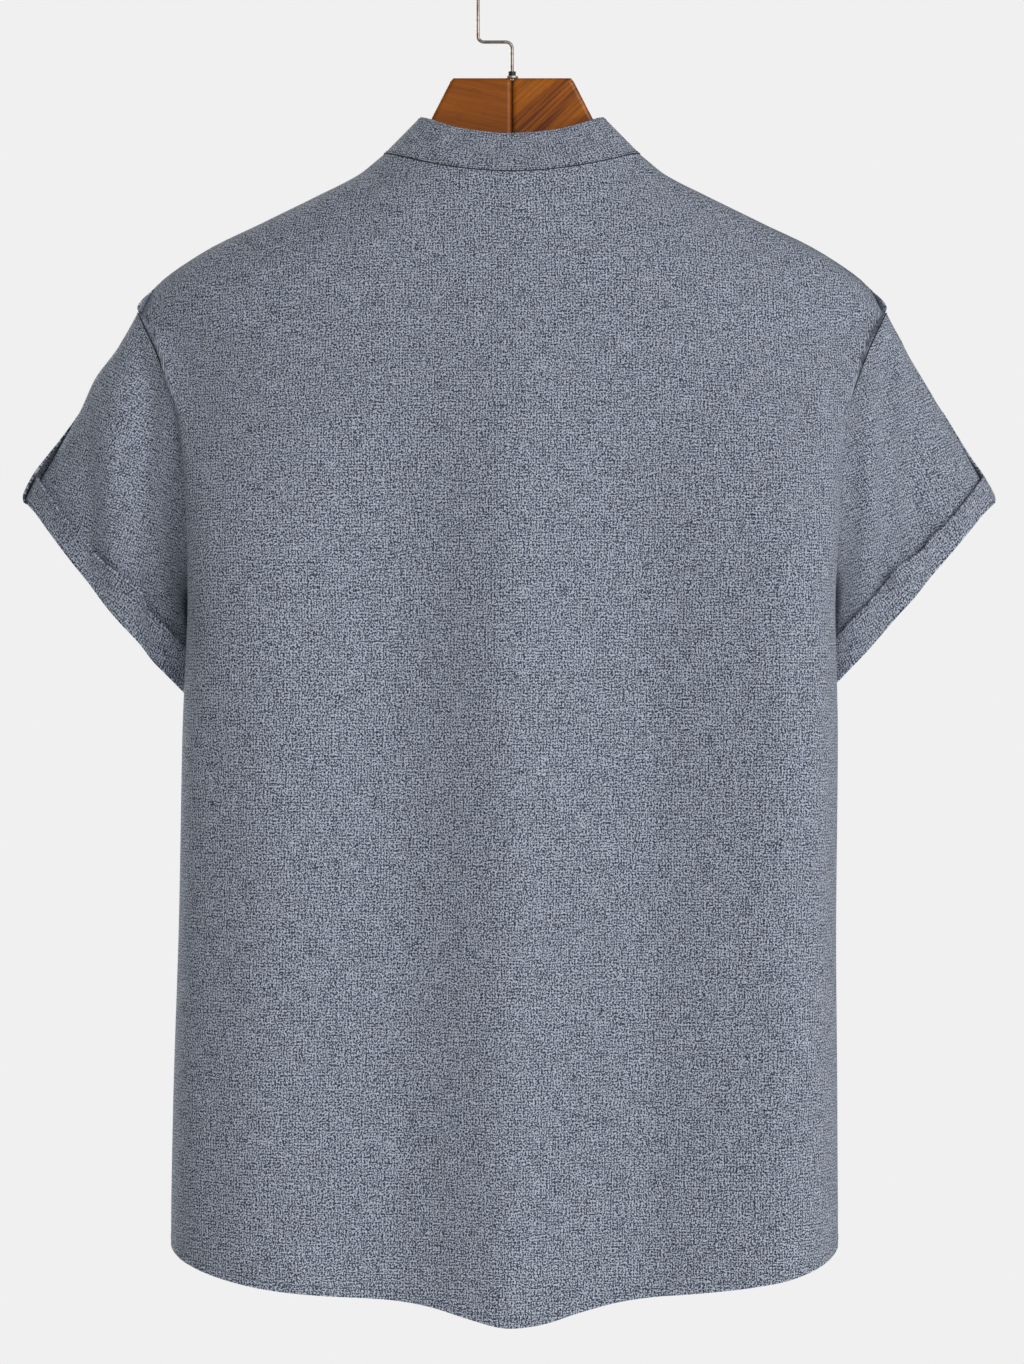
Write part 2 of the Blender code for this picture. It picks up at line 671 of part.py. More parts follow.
# ================================================================ collar and front opening
def neck_frame(face, share):
    """A point of the neck seam, with the panel's way up there and its way out."""
    point = panel_point(face, share, NECK_SIDE_Z)
    up = (point - panel_point(face, share, NECK_SIDE_Z - 0.004)).normalized()
    ahead = panel_point(face, min(share + 0.02, 1.0), NECK_SIDE_Z)
    along = ahead - panel_point(face, share - 0.02, NECK_SIDE_Z)
    out = up.cross(along).normalized()
    if (out.y < 0) == (face == "back"):
        out = -out
    return point, up, out


def collar_column(face, share, side):
    """One upright column of the collar band, from its seam to its top edge."""
    point, up, out = neck_frame(face, share)
    if share > 0.999:
        up.y, out.y = 0, 0
        up, out = up.normalized(), out.normalized()
    back_kept, front_kept = COLLAR_KEPT_DEPTH
    kept = front_kept + (back_kept - front_kept) * eased((point.y + 0.05) / 0.09)
    top_x = point.x * COLLAR_TOP_HALF_WIDTH / NECK_HALF_WIDTH
    top_y = NECK_AXIS_Y + (point.y - NECK_AXIS_Y) * kept
    height = COLLAR_HEIGHT
    from_end = point.x - COLLAR_FRONT_X
    if face == "front" and from_end < COLLAR_CORNER:
        beside = COLLAR_CORNER - max(from_end, 0.0)
        height -= COLLAR_CORNER - math.sqrt(COLLAR_CORNER**2 - 0.96 * beside**2)
    lean = Vector((top_x - point.x, top_y - point.y, 0)) * height / COLLAR_HEIGHT
    rise = Vector((lean.x, lean.y, math.sqrt(height**2 - lean.length_squared)))
    base = point + SEAM_GAP * 1.6 * (up + rise.normalized()).normalized()
    column = [base + rise * step / COLLAR_ROWS for step in range(COLLAR_ROWS + 1)]
    return [(side * p.x, p.y, p.z) for p in column], (side * out.x, out.y, out.z)


def add_collar(material):
    """The stand collar: one band round the neck, open at the centre front."""
    end = math.asin(COLLAR_FRONT_X / NECK_HALF_WIDTH) * 2 / math.pi
    front = [end, end + 0.02, end + 0.05, *np.linspace(0.12, 0.92, 9)]
    back = list(np.linspace(1.0, 0.0, 14))
    path = [("front", share, 1) for share in front] + [("back", share, 1) for share in back]
    path += [("back", share, -1) for share in reversed(back[:-1])]
    path += [("front", share, -1) for share in reversed(front)]
    columns, seam_out = zip(*[collar_column(*place) for place in path])
    points = np.array(columns).transpose(1, 0, 2)
    normals = grid_normals(points, False, -1)
    normals[0] = seam_out
    wall_of("collar", points, normals, material, COLLAR_WALL)


def add_placket(points, normals, material):
    """The strip that carries the buttons, made from the left front's points moved out."""
    middle, out = points[:, :3].copy(), normals[:, :3]
    for row, inward in ((0, 1), (-1, -2)):
        step = middle[inward] - middle[row]
        middle[row] += PLACKET_END * step / np.linalg.norm(step, axis=1, keepdims=True)
    middle += out * (CLOTH + LAYER_GAP)
    wall_of("placket", middle, out, material)
    return middle


def add_button(name, centre, out, material):
    turn = Vector((0, 0, 1)).rotation_difference(out)
    bpy.ops.mesh.primitive_cylinder_add(
        vertices=16, radius=BUTTON_RADIUS, depth=BUTTON_THICKNESS, location=centre
    )
    button = bpy.context.object
    button.rotation_mode = "QUATERNION"
    button.rotation_quaternion = turn
    bevel = button.modifiers.new("rim", "BEVEL")
    bevel.width = BUTTON_BEVEL
    bevel.segments = 1
    adopt(button, name, material)


def add_front_buttons(placket, material):
    """Buttons on the placket's centre line."""
    line = placket[:, 1]
    heights = line[:, 2]
    for number in range(BUTTON_COUNT):
        z = FIRST_BUTTON_Z - number * BUTTON_PITCH
        row = int(np.searchsorted(heights, z)) - 1
        low, high = Vector(line[row]), Vector(line[row + 1])
        point = low.lerp(high, (z - low.z) / (high.z - low.z))
        across = Vector(placket[row, -1] - placket[row, 0])
        out = across.cross(high - low).normalized()
        lift = CLOTH / 2 + BUTTON_GAP + BUTTON_THICKNESS / 2
        add_button(f"button_{number + 1}", point + out * lift, out, material)


def add_tab_button(which, side, material):
    row = TAB_PATH["rows"][1]
    down, out = row[0] - 0.03, row[TAB_PATH["columns"].index(which)]
    turn = turn_at_depth(which, down, tab_y(which, down, 0))
    normal = sleeve_normal(which, turn, down)
    lift = out + TAB_WALL / 2 + BUTTON_GAP + BUTTON_THICKNESS / 2
    centre = sleeve_point(which, turn, down) + normal * lift
    centre.x, normal.x = side * centre.x, side * normal.x
    add_button("tab_button_" + which, centre, normal, material)


# ================================================================ hanger
def adopt(obj, name, material):
    """Names an object made by an operator, gives it its material and smooth shading."""
    obj.name = name
    obj.data.name = name
    obj.data.materials.clear()
    obj.data.materials.append(material)
    if obj.type == "MESH":
        obj.data.shade_smooth()
        obj.data.set_sharp_from_angle(angle=math.radians(35))
    for collection in list(obj.users_collection):
        collection.objects.unlink(obj)
    bpy.data.collections["shirt_on_hanger"].objects.link(obj)


def add_board(name, side, material):
    """One half of the wooden hanger, cut from a flat board along its outline."""
    xs, heights = zip(*sorted((x, z) for z, x in SHOULDER_EDGE))
    arm = [(x, smooth_through(x, xs, heights) - BOARD_UNDER_RIDGE) for x in BOARD_ARM_X]
    joint = BOARD_JOINT_GAP / 2
    outline = [(joint, BOARD_TOP_Z), *BOARD_NECK, *arm, *BOARD_TIP, *BOARD_UNDERSIDE]
    outline.append((joint, BOARD_BOTTOM_Z))
    mesh = bmesh.new()
    rings = []
    for y in (-BOARD_HALF_THICKNESS, BOARD_HALF_THICKNESS):
        rings.append([mesh.verts.new((side * x, y, z)) for x, z in outline])
    for ring in rings:
        mesh.faces.new(ring)
    for i in range(len(outline)):
        k = (i + 1) % len(outline)
        mesh.faces.new((rings[0][i], rings[0][k], rings[1][k], rings[1][i]))
    bmesh.ops.recalc_face_normals(mesh, faces=mesh.faces)
    board = add_object(name, mesh, material)
    bevel = board.modifiers.new("rounded_edges", "BEVEL")
    bevel.width = BOARD_BEVEL
    bevel.segments = 3
    bevel.limit_method = "ANGLE"
    bevel.angle_limit = math.radians(60)


def hook_path():
    """Centre line of the wire, from the ferrule to the hook's tip."""
    bend = HOOK_BEND
    path = [(0, BOARD_TOP_Z + 0.0007), (0, HOOK_JOG_Z - bend)]
    for step in range(1, 5):
        angle = math.pi / 8 * step
        path.append((bend * (1 - math.cos(angle)), HOOK_JOG_Z - bend * (1 - math.sin(angle))))
    for step in range(0, 5):
        angle = math.pi / 8 * step
        x = HOOK_RADIUS - bend * (1 - math.sin(angle))
        path.append((x, HOOK_JOG_Z + bend * (1 - math.cos(angle))))
    centre_z = WIRE_RADIUS - HOOK_RADIUS
    for step in range(17):
        angle = math.pi / 16 * step
        path.append((HOOK_RADIUS * math.cos(angle), centre_z + HOOK_RADIUS * math.sin(angle)))
    path.append((-HOOK_RADIUS, centre_z - HOOK_TIP_DROP))
    return path


def add_hook(material):
    """The bent wire that hangs on the rail."""
    curve = bpy.data.curves.new("hook", "CURVE")
    curve.dimensions = "3D"
    path = hook_path()
    spline = curve.splines.new("POLY")
    spline.points.add(len(path) - 1)
    for point, (x, z) in zip(spline.points, path):
        point.co = (x, 0, z, 1)
    curve.bevel_depth = WIRE_RADIUS
    curve.bevel_resolution = 2
    curve.use_fill_caps = True
    hook = bpy.data.objects.new("hook", curve)
    bpy.context.scene.collection.objects.link(hook)
    adopt(hook, "hook", material)


def add_ferrule(material):
    """The washer and bush round the hook's shank."""
    angles = [2 * math.pi * k / 20 for k in range(20)]
    outer, inner = [], []
    for radius, lift in FERRULE_RINGS:
        z = BOARD_TOP_Z + lift
        outer.append([(radius * math.cos(a), radius * math.sin(a), z) for a in angles])
        inner.append([(FERRULE_BORE * math.cos(a), FERRULE_BORE * math.sin(a), z) for a in angles])
    add_wall("hook_ferrule", np.array(outer), np.array(inner), True, material)


def make_material(name, colour, roughness, metallic=0.0):
    material = bpy.data.materials.new(name)
    material.use_nodes = True
    shader = material.node_tree.nodes["Principled BSDF"]
    shader.inputs["Base Color"].default_value = colour
    shader.inputs["Roughness"].default_value = roughness
    shader.inputs["Metallic"].default_value = metallic
    return material


def main():
    for old in list(bpy.data.objects):
        bpy.data.objects.remove(old)
    collection = bpy.data.collections.new("shirt_on_hanger")
    bpy.context.scene.collection.children.link(collection)
    cloth = make_material("cloth", CLOTH_BLUE, 0.9)
    plastic = make_material("button_plastic", BUTTON_BLUE, 0.35)
    wood = make_material("wood", WOOD_BROWN, 0.4)
    wire = make_material("wire", WIRE_GREY, 0.35, 1.0)
    front_left = add_torso_and_sleeves(cloth)
    add_collar(cloth)
    placket = add_placket(*front_left, cloth)
    add_front_buttons(placket, plastic)
    for which, side in (("left", 1), ("right", -1)):
        add_cuff(which, side, cloth)
        add_tab(which, side, cloth)
        add_tab_button(which, side, plastic)
        add_board("hanger_" + which, side, wood)
    add_hook(wire)
    add_ferrule(wire)


main()
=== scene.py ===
"""Looks of a mandarin collar shirt that hangs on a wooden hanger.

Laid out as an add-on: one operator for each piece or group of like pieces, and one for
the stage. Units are metres, +Z is up and the wearer's left is +X. The cloth pieces are
thin shells on the form of the rigid walls, with finer folds, weave and sewing.
"""

import math

import bmesh
import bpy
import numpy as np
from mathutils import Matrix, Vector


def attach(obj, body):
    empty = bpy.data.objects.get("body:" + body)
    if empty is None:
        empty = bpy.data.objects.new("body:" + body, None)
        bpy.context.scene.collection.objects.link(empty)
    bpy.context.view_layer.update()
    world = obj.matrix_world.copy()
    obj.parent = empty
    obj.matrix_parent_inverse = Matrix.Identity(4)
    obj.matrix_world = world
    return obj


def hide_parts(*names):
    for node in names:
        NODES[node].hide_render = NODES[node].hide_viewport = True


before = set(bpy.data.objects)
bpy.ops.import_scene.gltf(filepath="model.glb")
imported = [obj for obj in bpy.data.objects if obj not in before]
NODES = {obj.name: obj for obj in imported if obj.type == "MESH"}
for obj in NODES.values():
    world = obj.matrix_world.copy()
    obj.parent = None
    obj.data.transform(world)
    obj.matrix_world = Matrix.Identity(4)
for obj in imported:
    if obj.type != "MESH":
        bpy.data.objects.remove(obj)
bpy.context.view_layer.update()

bl_info = {
    "name": "Mandarin collar shirt",
    "version": (1, 0, 0),
    "blender": (4, 5, 0),
    "location": "View3D > Sidebar > Shirt",
    "description": "Builds a short-sleeved shirt with a stand collar on a wooden hanger",
    "category": "Object",
}

# ---------------------------------------------------------------- cloth and seams
CLOTH = 0.0012  # wall of one layer of shirt cloth, with its seam allowances
SEAM_GAP = 0.0003  # between two pieces that are sewn together
ARMHOLE_GAP = 0.0007
LAYER_GAP = 0.0003  # between a layer and the one that lies on it

# ---------------------------------------------------------------- torso sizes
NECK_HALF_WIDTH = 0.084
NECK_SIDE_Z = -0.134  # the collar seam at the top of the shoulder
BACK_NECK_Z = -0.151  # the collar seam at the centre back
FRONT_NECK_Z = -0.212  # the collar seam at the centre front
SHOULDER_TIP_Z = -0.2385
UNDERARM_Z = -0.430
SHOULDER_TIP_X = 0.246
SHOULDER_EDGE = (  # height and x of the shoulder seam near its end
    (-0.1340, 0.0840),
    (-0.1490, 0.1030),
    (-0.1620, 0.1290),
    (-0.1760, 0.1575),
    (-0.1890, 0.1830),
    (-0.2020, 0.2075),
    (-0.2150, 0.2265),
    (-0.2280, 0.2395),
    (-0.2385, 0.2460),
)
SHOULDER_EASE = 8  # rounds of evening out the cloth's turn at the shoulder tip
SHOULDER_EASE_ROWS = 6
SWAY = 0.0050  # the hem hangs this much towards the wearer's left
SWAY_START = 0.03  # above the underarm
SWAY_RUN = 0.45  # height over which the sway grows
UNDERARM_X = 0.197
ARMHOLE_HALF_DEPTH = 0.060
ARMHOLE_NARROW_TOP = 0.36  # share by which the armhole is narrower near the shoulder
ARMHOLE_SCOOP = 0.014  # how far the armhole's middle is cut in towards the body
SIDE_HEM_Z = -0.831
BACK_HEM_Z = -0.8745
FRONT_HEM_Z = -0.858
# Heights at the centre of the rows that meet the panel's outer edge at the hem, the
# underarm, the shoulder tip and the neck.
CENTRE_ROWS = {
    "back": (BACK_HEM_Z, -0.457, -0.262, BACK_NECK_Z),
    "front": (FRONT_HEM_Z, -0.470, -0.306, FRONT_NECK_Z),
}
HEM_CURVE = 2.5
TAIL_DROP = 0.0150  # the tail hangs this much lower near the centre back
TAIL_X = -0.0080
TAIL_WIDTH = 0.046
TAIL_RUN = 0.12  # height over which the hem's rows follow the tail
EDGE_POWER = 8  # the higher, the closer to its edge a panel bends to meet it

# Height of a level section, half width, swell of the corner past the side seam, depth
# of the back and of the front, and the corner's two powers.
SECTIONS = {
    "columns": ("z", "half", "swell", "back", "front", "square", "soft"),
    "rows": (
        (-0.1340, 0.0840, 0.0000, 0.0420, 0.0440, 2.0, 0.62),
        (-0.1490, 0.1030, 0.0000, 0.0460, 0.0480, 2.0, 0.62),
        (-0.1620, 0.1290, 0.0000, 0.0495, 0.0515, 2.0, 0.62),
        (-0.1760, 0.1575, 0.0000, 0.0530, 0.0550, 2.0, 0.62),
        (-0.1890, 0.1830, 0.0000, 0.0565, 0.0580, 2.0, 0.62),
        (-0.2020, 0.2070, 0.0000, 0.0600, 0.0610, 2.0, 0.63),
        (-0.2150, 0.2240, 0.0000, 0.0635, 0.0645, 2.0, 0.64),
        (-0.2280, 0.2335, 0.0000, 0.0670, 0.0680, 2.1, 0.65),
        (-0.2385, 0.2370, 0.0000, 0.0700, 0.0705, 2.2, 0.65),
        (-0.2700, 0.2290, 0.0010, 0.0785, 0.0775, 2.8, 0.62),
        (-0.3100, 0.2130, 0.0060, 0.0870, 0.0855, 3.8, 0.58),
        (-0.3500, 0.2030, 0.0130, 0.0930, 0.0915, 6.2, 0.54),
        (-0.4300, 0.1970, 0.0170, 0.0985, 0.0970, 12.0, 0.50),
        (-0.5200, 0.1908, 0.0258, 0.1005, 0.0985, 10.0, 0.50),
        (-0.6200, 0.1910, 0.0263, 0.1015, 0.0990, 8.0, 0.50),
        (-0.7500, 0.1938, 0.0265, 0.1030, 0.1000, 7.5, 0.50),
        (-0.9100, 0.1970, 0.0265, 0.1040, 0.1010, 7.0, 0.50),
    ),
}
SWELL_PEAK = 0.800  # share of the way to the side seam where the corner is widest

# Soft folds that hang down the torso: the face, x at the top and at the hem, half
# width, height where the fold starts, and how far it stands out at the hem. The back's
# lie beside those of the rigid wall, where the studio's light shows them.
TORSO_FOLDS = (
    ("back", 0.150, 0.152, 0.038, -0.200, 0.0066),
    ("back", 0.070, 0.074, 0.029, -0.200, -0.0060),
    ("back", 0.000, 0.001, 0.031, -0.150, 0.0130),
    ("back", -0.076, -0.088, 0.030, -0.190, -0.0085),
    ("back", -0.172, -0.182, 0.030, -0.230, 0.0130),
    ("front", 0.082, 0.098, 0.027, -0.230, -0.0140),
    ("front", -0.076, -0.090, 0.025, -0.240, -0.0150),
    ("front", 0.150, 0.160, 0.026, -0.320, 0.0060),
    ("front", -0.144, -0.150, 0.028, -0.300, 0.0070),
)
FOLD_RUN = 0.28
FOLD_RATE = 0.85  # a fold is full one run below its start, divided by this
FOLD_DRIFT = 1.2  # and it moves sideways down to this many runs below its start

# ---------------------------------------------------------------- sleeves and cuffs
CUFF_OUTER = {  # the sleeve's end, top of the arm
    "left": Vector((0.3175, -0.004, -0.3600)),
    "right": Vector((0.3155, -0.004, -0.3600)),
}
CUFF_INNER = {  # the sleeve's end, under the arm
    "left": Vector((0.2080, 0.000, -0.4945)),
    "right": Vector((0.2055, 0.000, -0.4885)),
}
CUFF_BOW = {"left": 0.0018, "right": 0.0}  # the end is longer behind and before the arm
CUFF_HALF_DEPTH = 0.030
UNDERARM_ROOM = 0.013  # the sleeve leaves the underarm outwards by this much
UNDERARM_LIFT = 0.0075  # and this much upwards
CUFF_HEIGHT = (0.014, 0.022)  # of the turned-up band, on the outer and the inner half
CUFF_HEIGHT_TURN = (60, 40)  # degrees round the arm: the start and the run of that change
CUFF_WALL = 0.0018  # the turned-up band is two layers and the hem in them
CUFF_GAP = 0.0010
CUFF_STAND = 0.0005  # its upper edge stands this much off the sleeve
CUFF_FLARE = 0.0050  # and this much more on the outer half, behind the arm
CUFF_OVERHANG = 0.0016  # the folded lower edge lies past the sleeve's end

# Folds that hang from the shoulder tip: x in the upright plane, half width, and how
# far each stands out. They are drawn on the back and on the front of both sleeves.
SLEEVE_FOLDS = (
    (0.2540, 0.0135, -0.0080),
    (0.2320, 0.0120, 0.0045),
    (0.2860, 0.0160, 0.0030),
)
# Two points on the line down the middle of the left arm, which its threads follow.
ARM_LINE = (np.array((0.2208, 0, -0.334)), np.array((0.2620, 0, -0.427)))

# ---------------------------------------------------------------- roll tabs
TAB_WALL = 0.0014
TAB_BACK_EDGE = {"left": 0.000, "right": -0.008}  # y of the tab's hind edge
TAB_WIDTH = 0.020
TAB_SLANT = {"left": 0.008, "right": 0.0}  # the buttoned end lies further forward
TAB_POINT = 0.035  # how far the buttoned end is pointed, as a share of the sleeve
# The tab's path, from its buttoned end to where it is sewn inside the sleeve: share of
# the sleeve's length, and how far it lies out from the middle of each sleeve's wall.
TAB_PATH = {
    "columns": ("down", "left", "right"),
    "rows": (
        (0.50, 0.0024, 0.0028),
        (0.60, 0.0024, 0.0030),
        (0.70, 0.0028, 0.0034),
        (0.80, 0.0045, 0.0042),
        (0.88, 0.0061, 0.0055),
        (0.94, 0.0062, 0.0057),
        (0.98, 0.0058, 0.0055),
        (1.014, 0.0048, 0.0045),
        (1.030, 0.0030, 0.0028),
        (1.031, 0.0008, 0.0008),
        (1.018, -0.0014, -0.0014),
        (0.98, -0.0021, -0.0021),
        (0.90, -0.0019, -0.0019),
    ),
}

# ---------------------------------------------------------------- front opening
OVERLAP = 0.015  # each front reaches this far past the centre
UNDERLAP_DROP = 0.0032  # the right front lies this much further in
PLACKET_END = 0.0012  # the strip stops this short of the neck and the hem

# ---------------------------------------------------------------- collar
COLLAR_HEIGHT = 0.034
COLLAR_WALL = 0.0018
COLLAR_TOP_HALF_WIDTH = 0.0605
COLLAR_KEPT_DEPTH = (0.65, 0.88)  # of the neck's depth at the band's top, back and front
COLLAR_KEPT_FROM = -0.05  # y where the one share starts to turn into the other
COLLAR_KEPT_RUN = 0.09
COLLAR_SEAM_GAP = SEAM_GAP * 1.6
COLLAR_FRONT_X = 0.0022  # the band's ends stand this far from the centre
COLLAR_CORNER = 0.008  # radius of the ends' upper corners
NECK_AXIS_Y = -0.012

# ---------------------------------------------------------------- mesh fineness
ROWS_BELOW_ARM = 12
ROWS_AT_ARM = 16
ROWS_ABOVE_ARM = 8
BACK_COLUMNS = 26
FRONT_COLUMNS = 14
SLEEVE_ROWS = 10
CUFF_ROWS = 3
COLLAR_ROWS = 3
TAB_COLUMNS = 6

SIDES = (("left", 1), ("right", -1))  # the wearer's sides and the sign of their x

# ---------------------------------------------------------------- sewing and buttons
# Rows of stitches: the pieces they run on, how far inside the edge, and the edges.
STITCH_ROWS = {
    "hem": (("back", "front_left", "front_right"), 0.0052, ("bottom",)),
    "collar": (("collar",), 0.0018, ("bottom", "top", "left", "right")),
    "placket": (("placket",), 0.0022, ("left", "right")),
    "cuff_left": (("cuff_left",), 0.0018, ("bottom",)),
    "cuff_right": (("cuff_right",), 0.0018, ("bottom",)),
    "tab_left": (("tab_left",), 0.0018, ("left", "right")),
    "tab_right": (("tab_right",), 0.0018, ("left", "right")),
}
SEAM_SHADE_LINES = {  # painted shade: a dark cord in each seam, and the piece whose lower edge each follows
    "collar_seam_shade": "collar",
    "armhole_seam_shade_left": "sleeve_left",
    "armhole_seam_shade_right": "sleeve_right",
}
STITCH_SHARE = 0.78  # of each stitch's length that the thread covers
BUTTON_RADIUS = 0.0055
BUTTON_THICKNESS = 0.0022
BUTTON_RIM = 0.0009  # width of the raised rim
BUTTON_SLOPE = 0.0005  # width of the slope from the rim to the dished middle
BUTTON_ROUNDING = 0.0004
HOLE_CIRCLE = 0.0013  # the holes' distance from the button's centre
BAR_RADIUS = 0.00042  # of the two bars of thread on each button
BAR_LENGTH = 0.0030
BAR_PLACE = (0.00092, 0.00088)  # aside from the button's centre, and above it

# ---------------------------------------------------------------- hook and hanger
WIRE_RADIUS = 0.0011
WIRE_BOTTOM = -0.0831  # the wire's end in its bush
WIRE_ROUNDING = 0.0005  # of the wire's blunt ends
HOOK_RADIUS = 0.0225
HOOK_JOG_Z = -0.0594  # the wire steps sideways here, from the shank to the hook
HOOK_BEND = 0.0040
HOOK_TIP_DROP = 0.0090  # the tip ends this far below the middle of the hook's round
BUSH_FOOT = (-0.0822, -0.0821)  # heights where the bright washer ends and the bush starts
GRAIN = {  # of each half: its wood, the grain's angle in degrees, and how much it shows
    "hanger_left": ("wood_plain_half", 12, 0.35),
    "hanger_right": ("wood_grained_half", -42, 1.0),
}
JOINT_TOP = -0.0845  # of the dark glue line between the two halves
JOINT_BOTTOM = -0.1550
JOINT_WIDTH = 0.0009
JOINT_DEPTH = 0.0092

# ---------------------------------------------------------------- stage
SHIRT_MIDDLE = Vector((0, 0, -0.45))  # where the lights point
LIGHT_ELEVATION = 20  # degrees
KEY_AZIMUTH, FRONT_AZIMUTH, EDGE_AZIMUTH = -38, 0, 75
FLOOR_SIZE = 160.0
FLOOR_FADE = (1.8, 3.6)  # distances between which the floor blends into the backdrop
CAMERA_PLACE = (0, 2.6, -0.4818)
CAMERA_LENS = 36 * 3939 / 1364  # millimetres


# ================================================================ small maths
def smooth_through(at, xs, ys):
    """Value at a height on a curve through a table that never overshoots it."""
    order = np.argsort(xs)
    xs, ys = np.asarray(xs, float)[order], np.asarray(ys, float)[order]
    steps = np.diff(xs)
    slopes = np.diff(ys) / steps
    tangents = np.zeros_like(ys)
    tangents[0], tangents[-1] = slopes[0], slopes[-1]
    for i in range(1, len(ys) - 1):
        if slopes[i - 1] * slopes[i] > 0:
            before, after = 2 * steps[i] + steps[i - 1], steps[i] + 2 * steps[i - 1]
            tangents[i] = (before + after) / (before / slopes[i - 1] + after / slopes[i])
    at = min(max(at, xs[0]), xs[-1])
    i = min(int(np.searchsorted(xs, at, side="right")) - 1, len(xs) - 2)
    t = (at - xs[i]) / steps[i]
    rise = steps[i] * (tangents[i] * t * (1 - t) ** 2 - tangents[i + 1] * t * t * (1 - t))
    return ys[i] * (1 + 2 * t) * (1 - t) ** 2 + ys[i + 1] * t * t * (3 - 2 * t) + rise


def section_value(column, z):
    rows = SECTIONS["rows"]
    k = SECTIONS["columns"].index(column)
    return smooth_through(z, [row[0] for row in rows], [row[k] for row in rows])


def eased(t):
    """0 before 0, 1 after 1, and smooth between."""
    t = min(max(t, 0.0), 1.0)
    return t * t * (3 - 2 * t)


def bell(distance, width):
    """1 at no distance, and soon 0 past the width."""
    return math.exp(-((distance / width) ** 2))


def halved(low, high, is_below):
    """The place between low and high where is_below stops being true."""
    for _ in range(30):
        middle = (low + high) / 2
        if is_below(middle):
            low = middle
        else:
            high = middle
    return (low + high) / 2


# ================================================================ torso surface
def armhole_point(turn):
    """The armhole seam of the left arm. turn is 0 at the shoulder tip, pi under the arm
    by way of the back, and 2 pi at the tip again by way of the front."""
    middle_x, middle_z = (SHOULDER_TIP_X + UNDERARM_X) / 2, (SHOULDER_TIP_Z + UNDERARM_Z) / 2
    half_x, half_z = (SHOULDER_TIP_X - UNDERARM_X) / 2, (SHOULDER_TIP_Z - UNDERARM_Z) / 2
    narrow = 1 - ARMHOLE_NARROW_TOP * (1 + math.cos(turn)) / 2
    return Vector(
        (
            middle_x + half_x * math.cos(turn) - ARMHOLE_SCOOP * math.sin(turn) ** 2,
            ARMHOLE_HALF_DEPTH * narrow * math.sin(turn),
            middle_z + half_z * math.cos(turn),
        )
    )


def panel_edge(edge_z):
    """x and depth of the outermost line of a torso panel, and the sine of the armhole's
    turn there: side seam and shoulder seam have depth 0 and sine 0."""
    if UNDERARM_Z < edge_z < SHOULDER_TIP_Z:
        middle_z = (SHOULDER_TIP_Z + UNDERARM_Z) / 2
        turn = math.acos((edge_z - middle_z) / (SHOULDER_TIP_Z - middle_z))
        edge = armhole_point(turn)
        return edge.x, edge.y, math.sin(turn)
    if edge_z >= SHOULDER_TIP_Z:
        heights, edges = zip(*SHOULDER_EDGE)
        return smooth_through(edge_z, heights, edges), 0.0, 0.0
    return section_value("half", edge_z), 0.0, 0.0


def fold_height(face, x, z):
    """How far the torso's folds stand out at this place."""
    total = 0.0
    for fold_face, x_top, x_hem, width, start, height in TORSO_FOLDS:
        if fold_face != face or z > start:
            continue
        down = (start - z) / FOLD_RUN
        middle = x_top + (x_hem - x_top) * min(down, FOLD_DRIFT)
        total += height * eased(FOLD_RATE * down) * bell(x - middle, width)
    return total


def torso_point(face, across, z, edge):
    """A point of the torso. across is 0 at the centre and 1 or -1 at the panel's outer
    edge, and edge is panel_edge of the row that the point belongs to, with its height."""
    edge_x, edge_depth, edge_sine, edge_z = edge
    share = abs(across)
    sine = math.sin(math.pi / 2 * share)
    before, after = share / SWELL_PEAK, (1 - share) / (1 - SWELL_PEAK)
    swell = section_value("swell", z) * before ** (SWELL_PEAK / (1 - SWELL_PEAK)) * after
    size = section_value("half", z) * sine + swell
    size += (edge_x - section_value("half", edge_z)) * share**EDGE_POWER
    rounding = max(1 - sine ** section_value("square", z), 0.0) ** section_value("soft", z)
    y = section_value(face, z) * rounding
    y += edge_depth * (1 - rounding) ** (1 + 4 * (1 - edge_sine) ** 2)
    y -= rounding * edge_depth * edge_sine * (1 - rounding) * 0.4
    y += fold_height(face, math.copysign(size, across), z) * eased(2.2 * rounding)
    x = math.copysign(size, across) + SWAY * eased((UNDERARM_Z + SWAY_START - z) / SWAY_RUN)
    return Vector((x, y if face == "back" else -y, z))


def neckline_z(face, x):
    """Height of the collar seam above a place across the neck."""
    share = min(abs(x) / NECK_HALF_WIDTH, 1.0)
    if face == "back":
        return BACK_NECK_Z + (NECK_SIDE_Z - BACK_NECK_Z) * share**2
    return FRONT_NECK_Z + (NECK_SIDE_Z - FRONT_NECK_Z) * (1 - math.sqrt(1 - share**2.2))


def neckline_across(face, share):
    """(across, z) of the collar seam, from the centre (0) to the top of the shoulder (1)."""
    x = NECK_HALF_WIDTH * math.sin(math.pi / 2 * share)
    z = neckline_z(face, x)
    sine = min(x / section_value("half", z), 1.0)
    return math.asin(sine) * 2 / math.pi, z


def edge_heights():
    """Heights of the rows at the panel's outer edge, from the hem to the neck."""
    low = np.linspace(SIDE_HEM_Z, UNDERARM_Z, ROWS_BELOW_ARM + 1)[:-1]
    turns = np.linspace(math.pi, 0, ROWS_AT_ARM + 1)[:-1]
    arm = [armhole_point(turn).z for turn in turns]
    top = np.linspace(SHOULDER_TIP_Z, NECK_SIDE_Z, ROWS_ABOVE_ARM + 1)
    return [*low, *arm, *top]


def centre_height(face, edge_z):
    """Height at the centre of the row that has this height at its outer edge."""
    at_edge = (SIDE_HEM_Z, UNDERARM_Z, SHOULDER_TIP_Z, NECK_SIDE_Z)
    return smooth_through(edge_z, at_edge, CENTRE_ROWS[face])


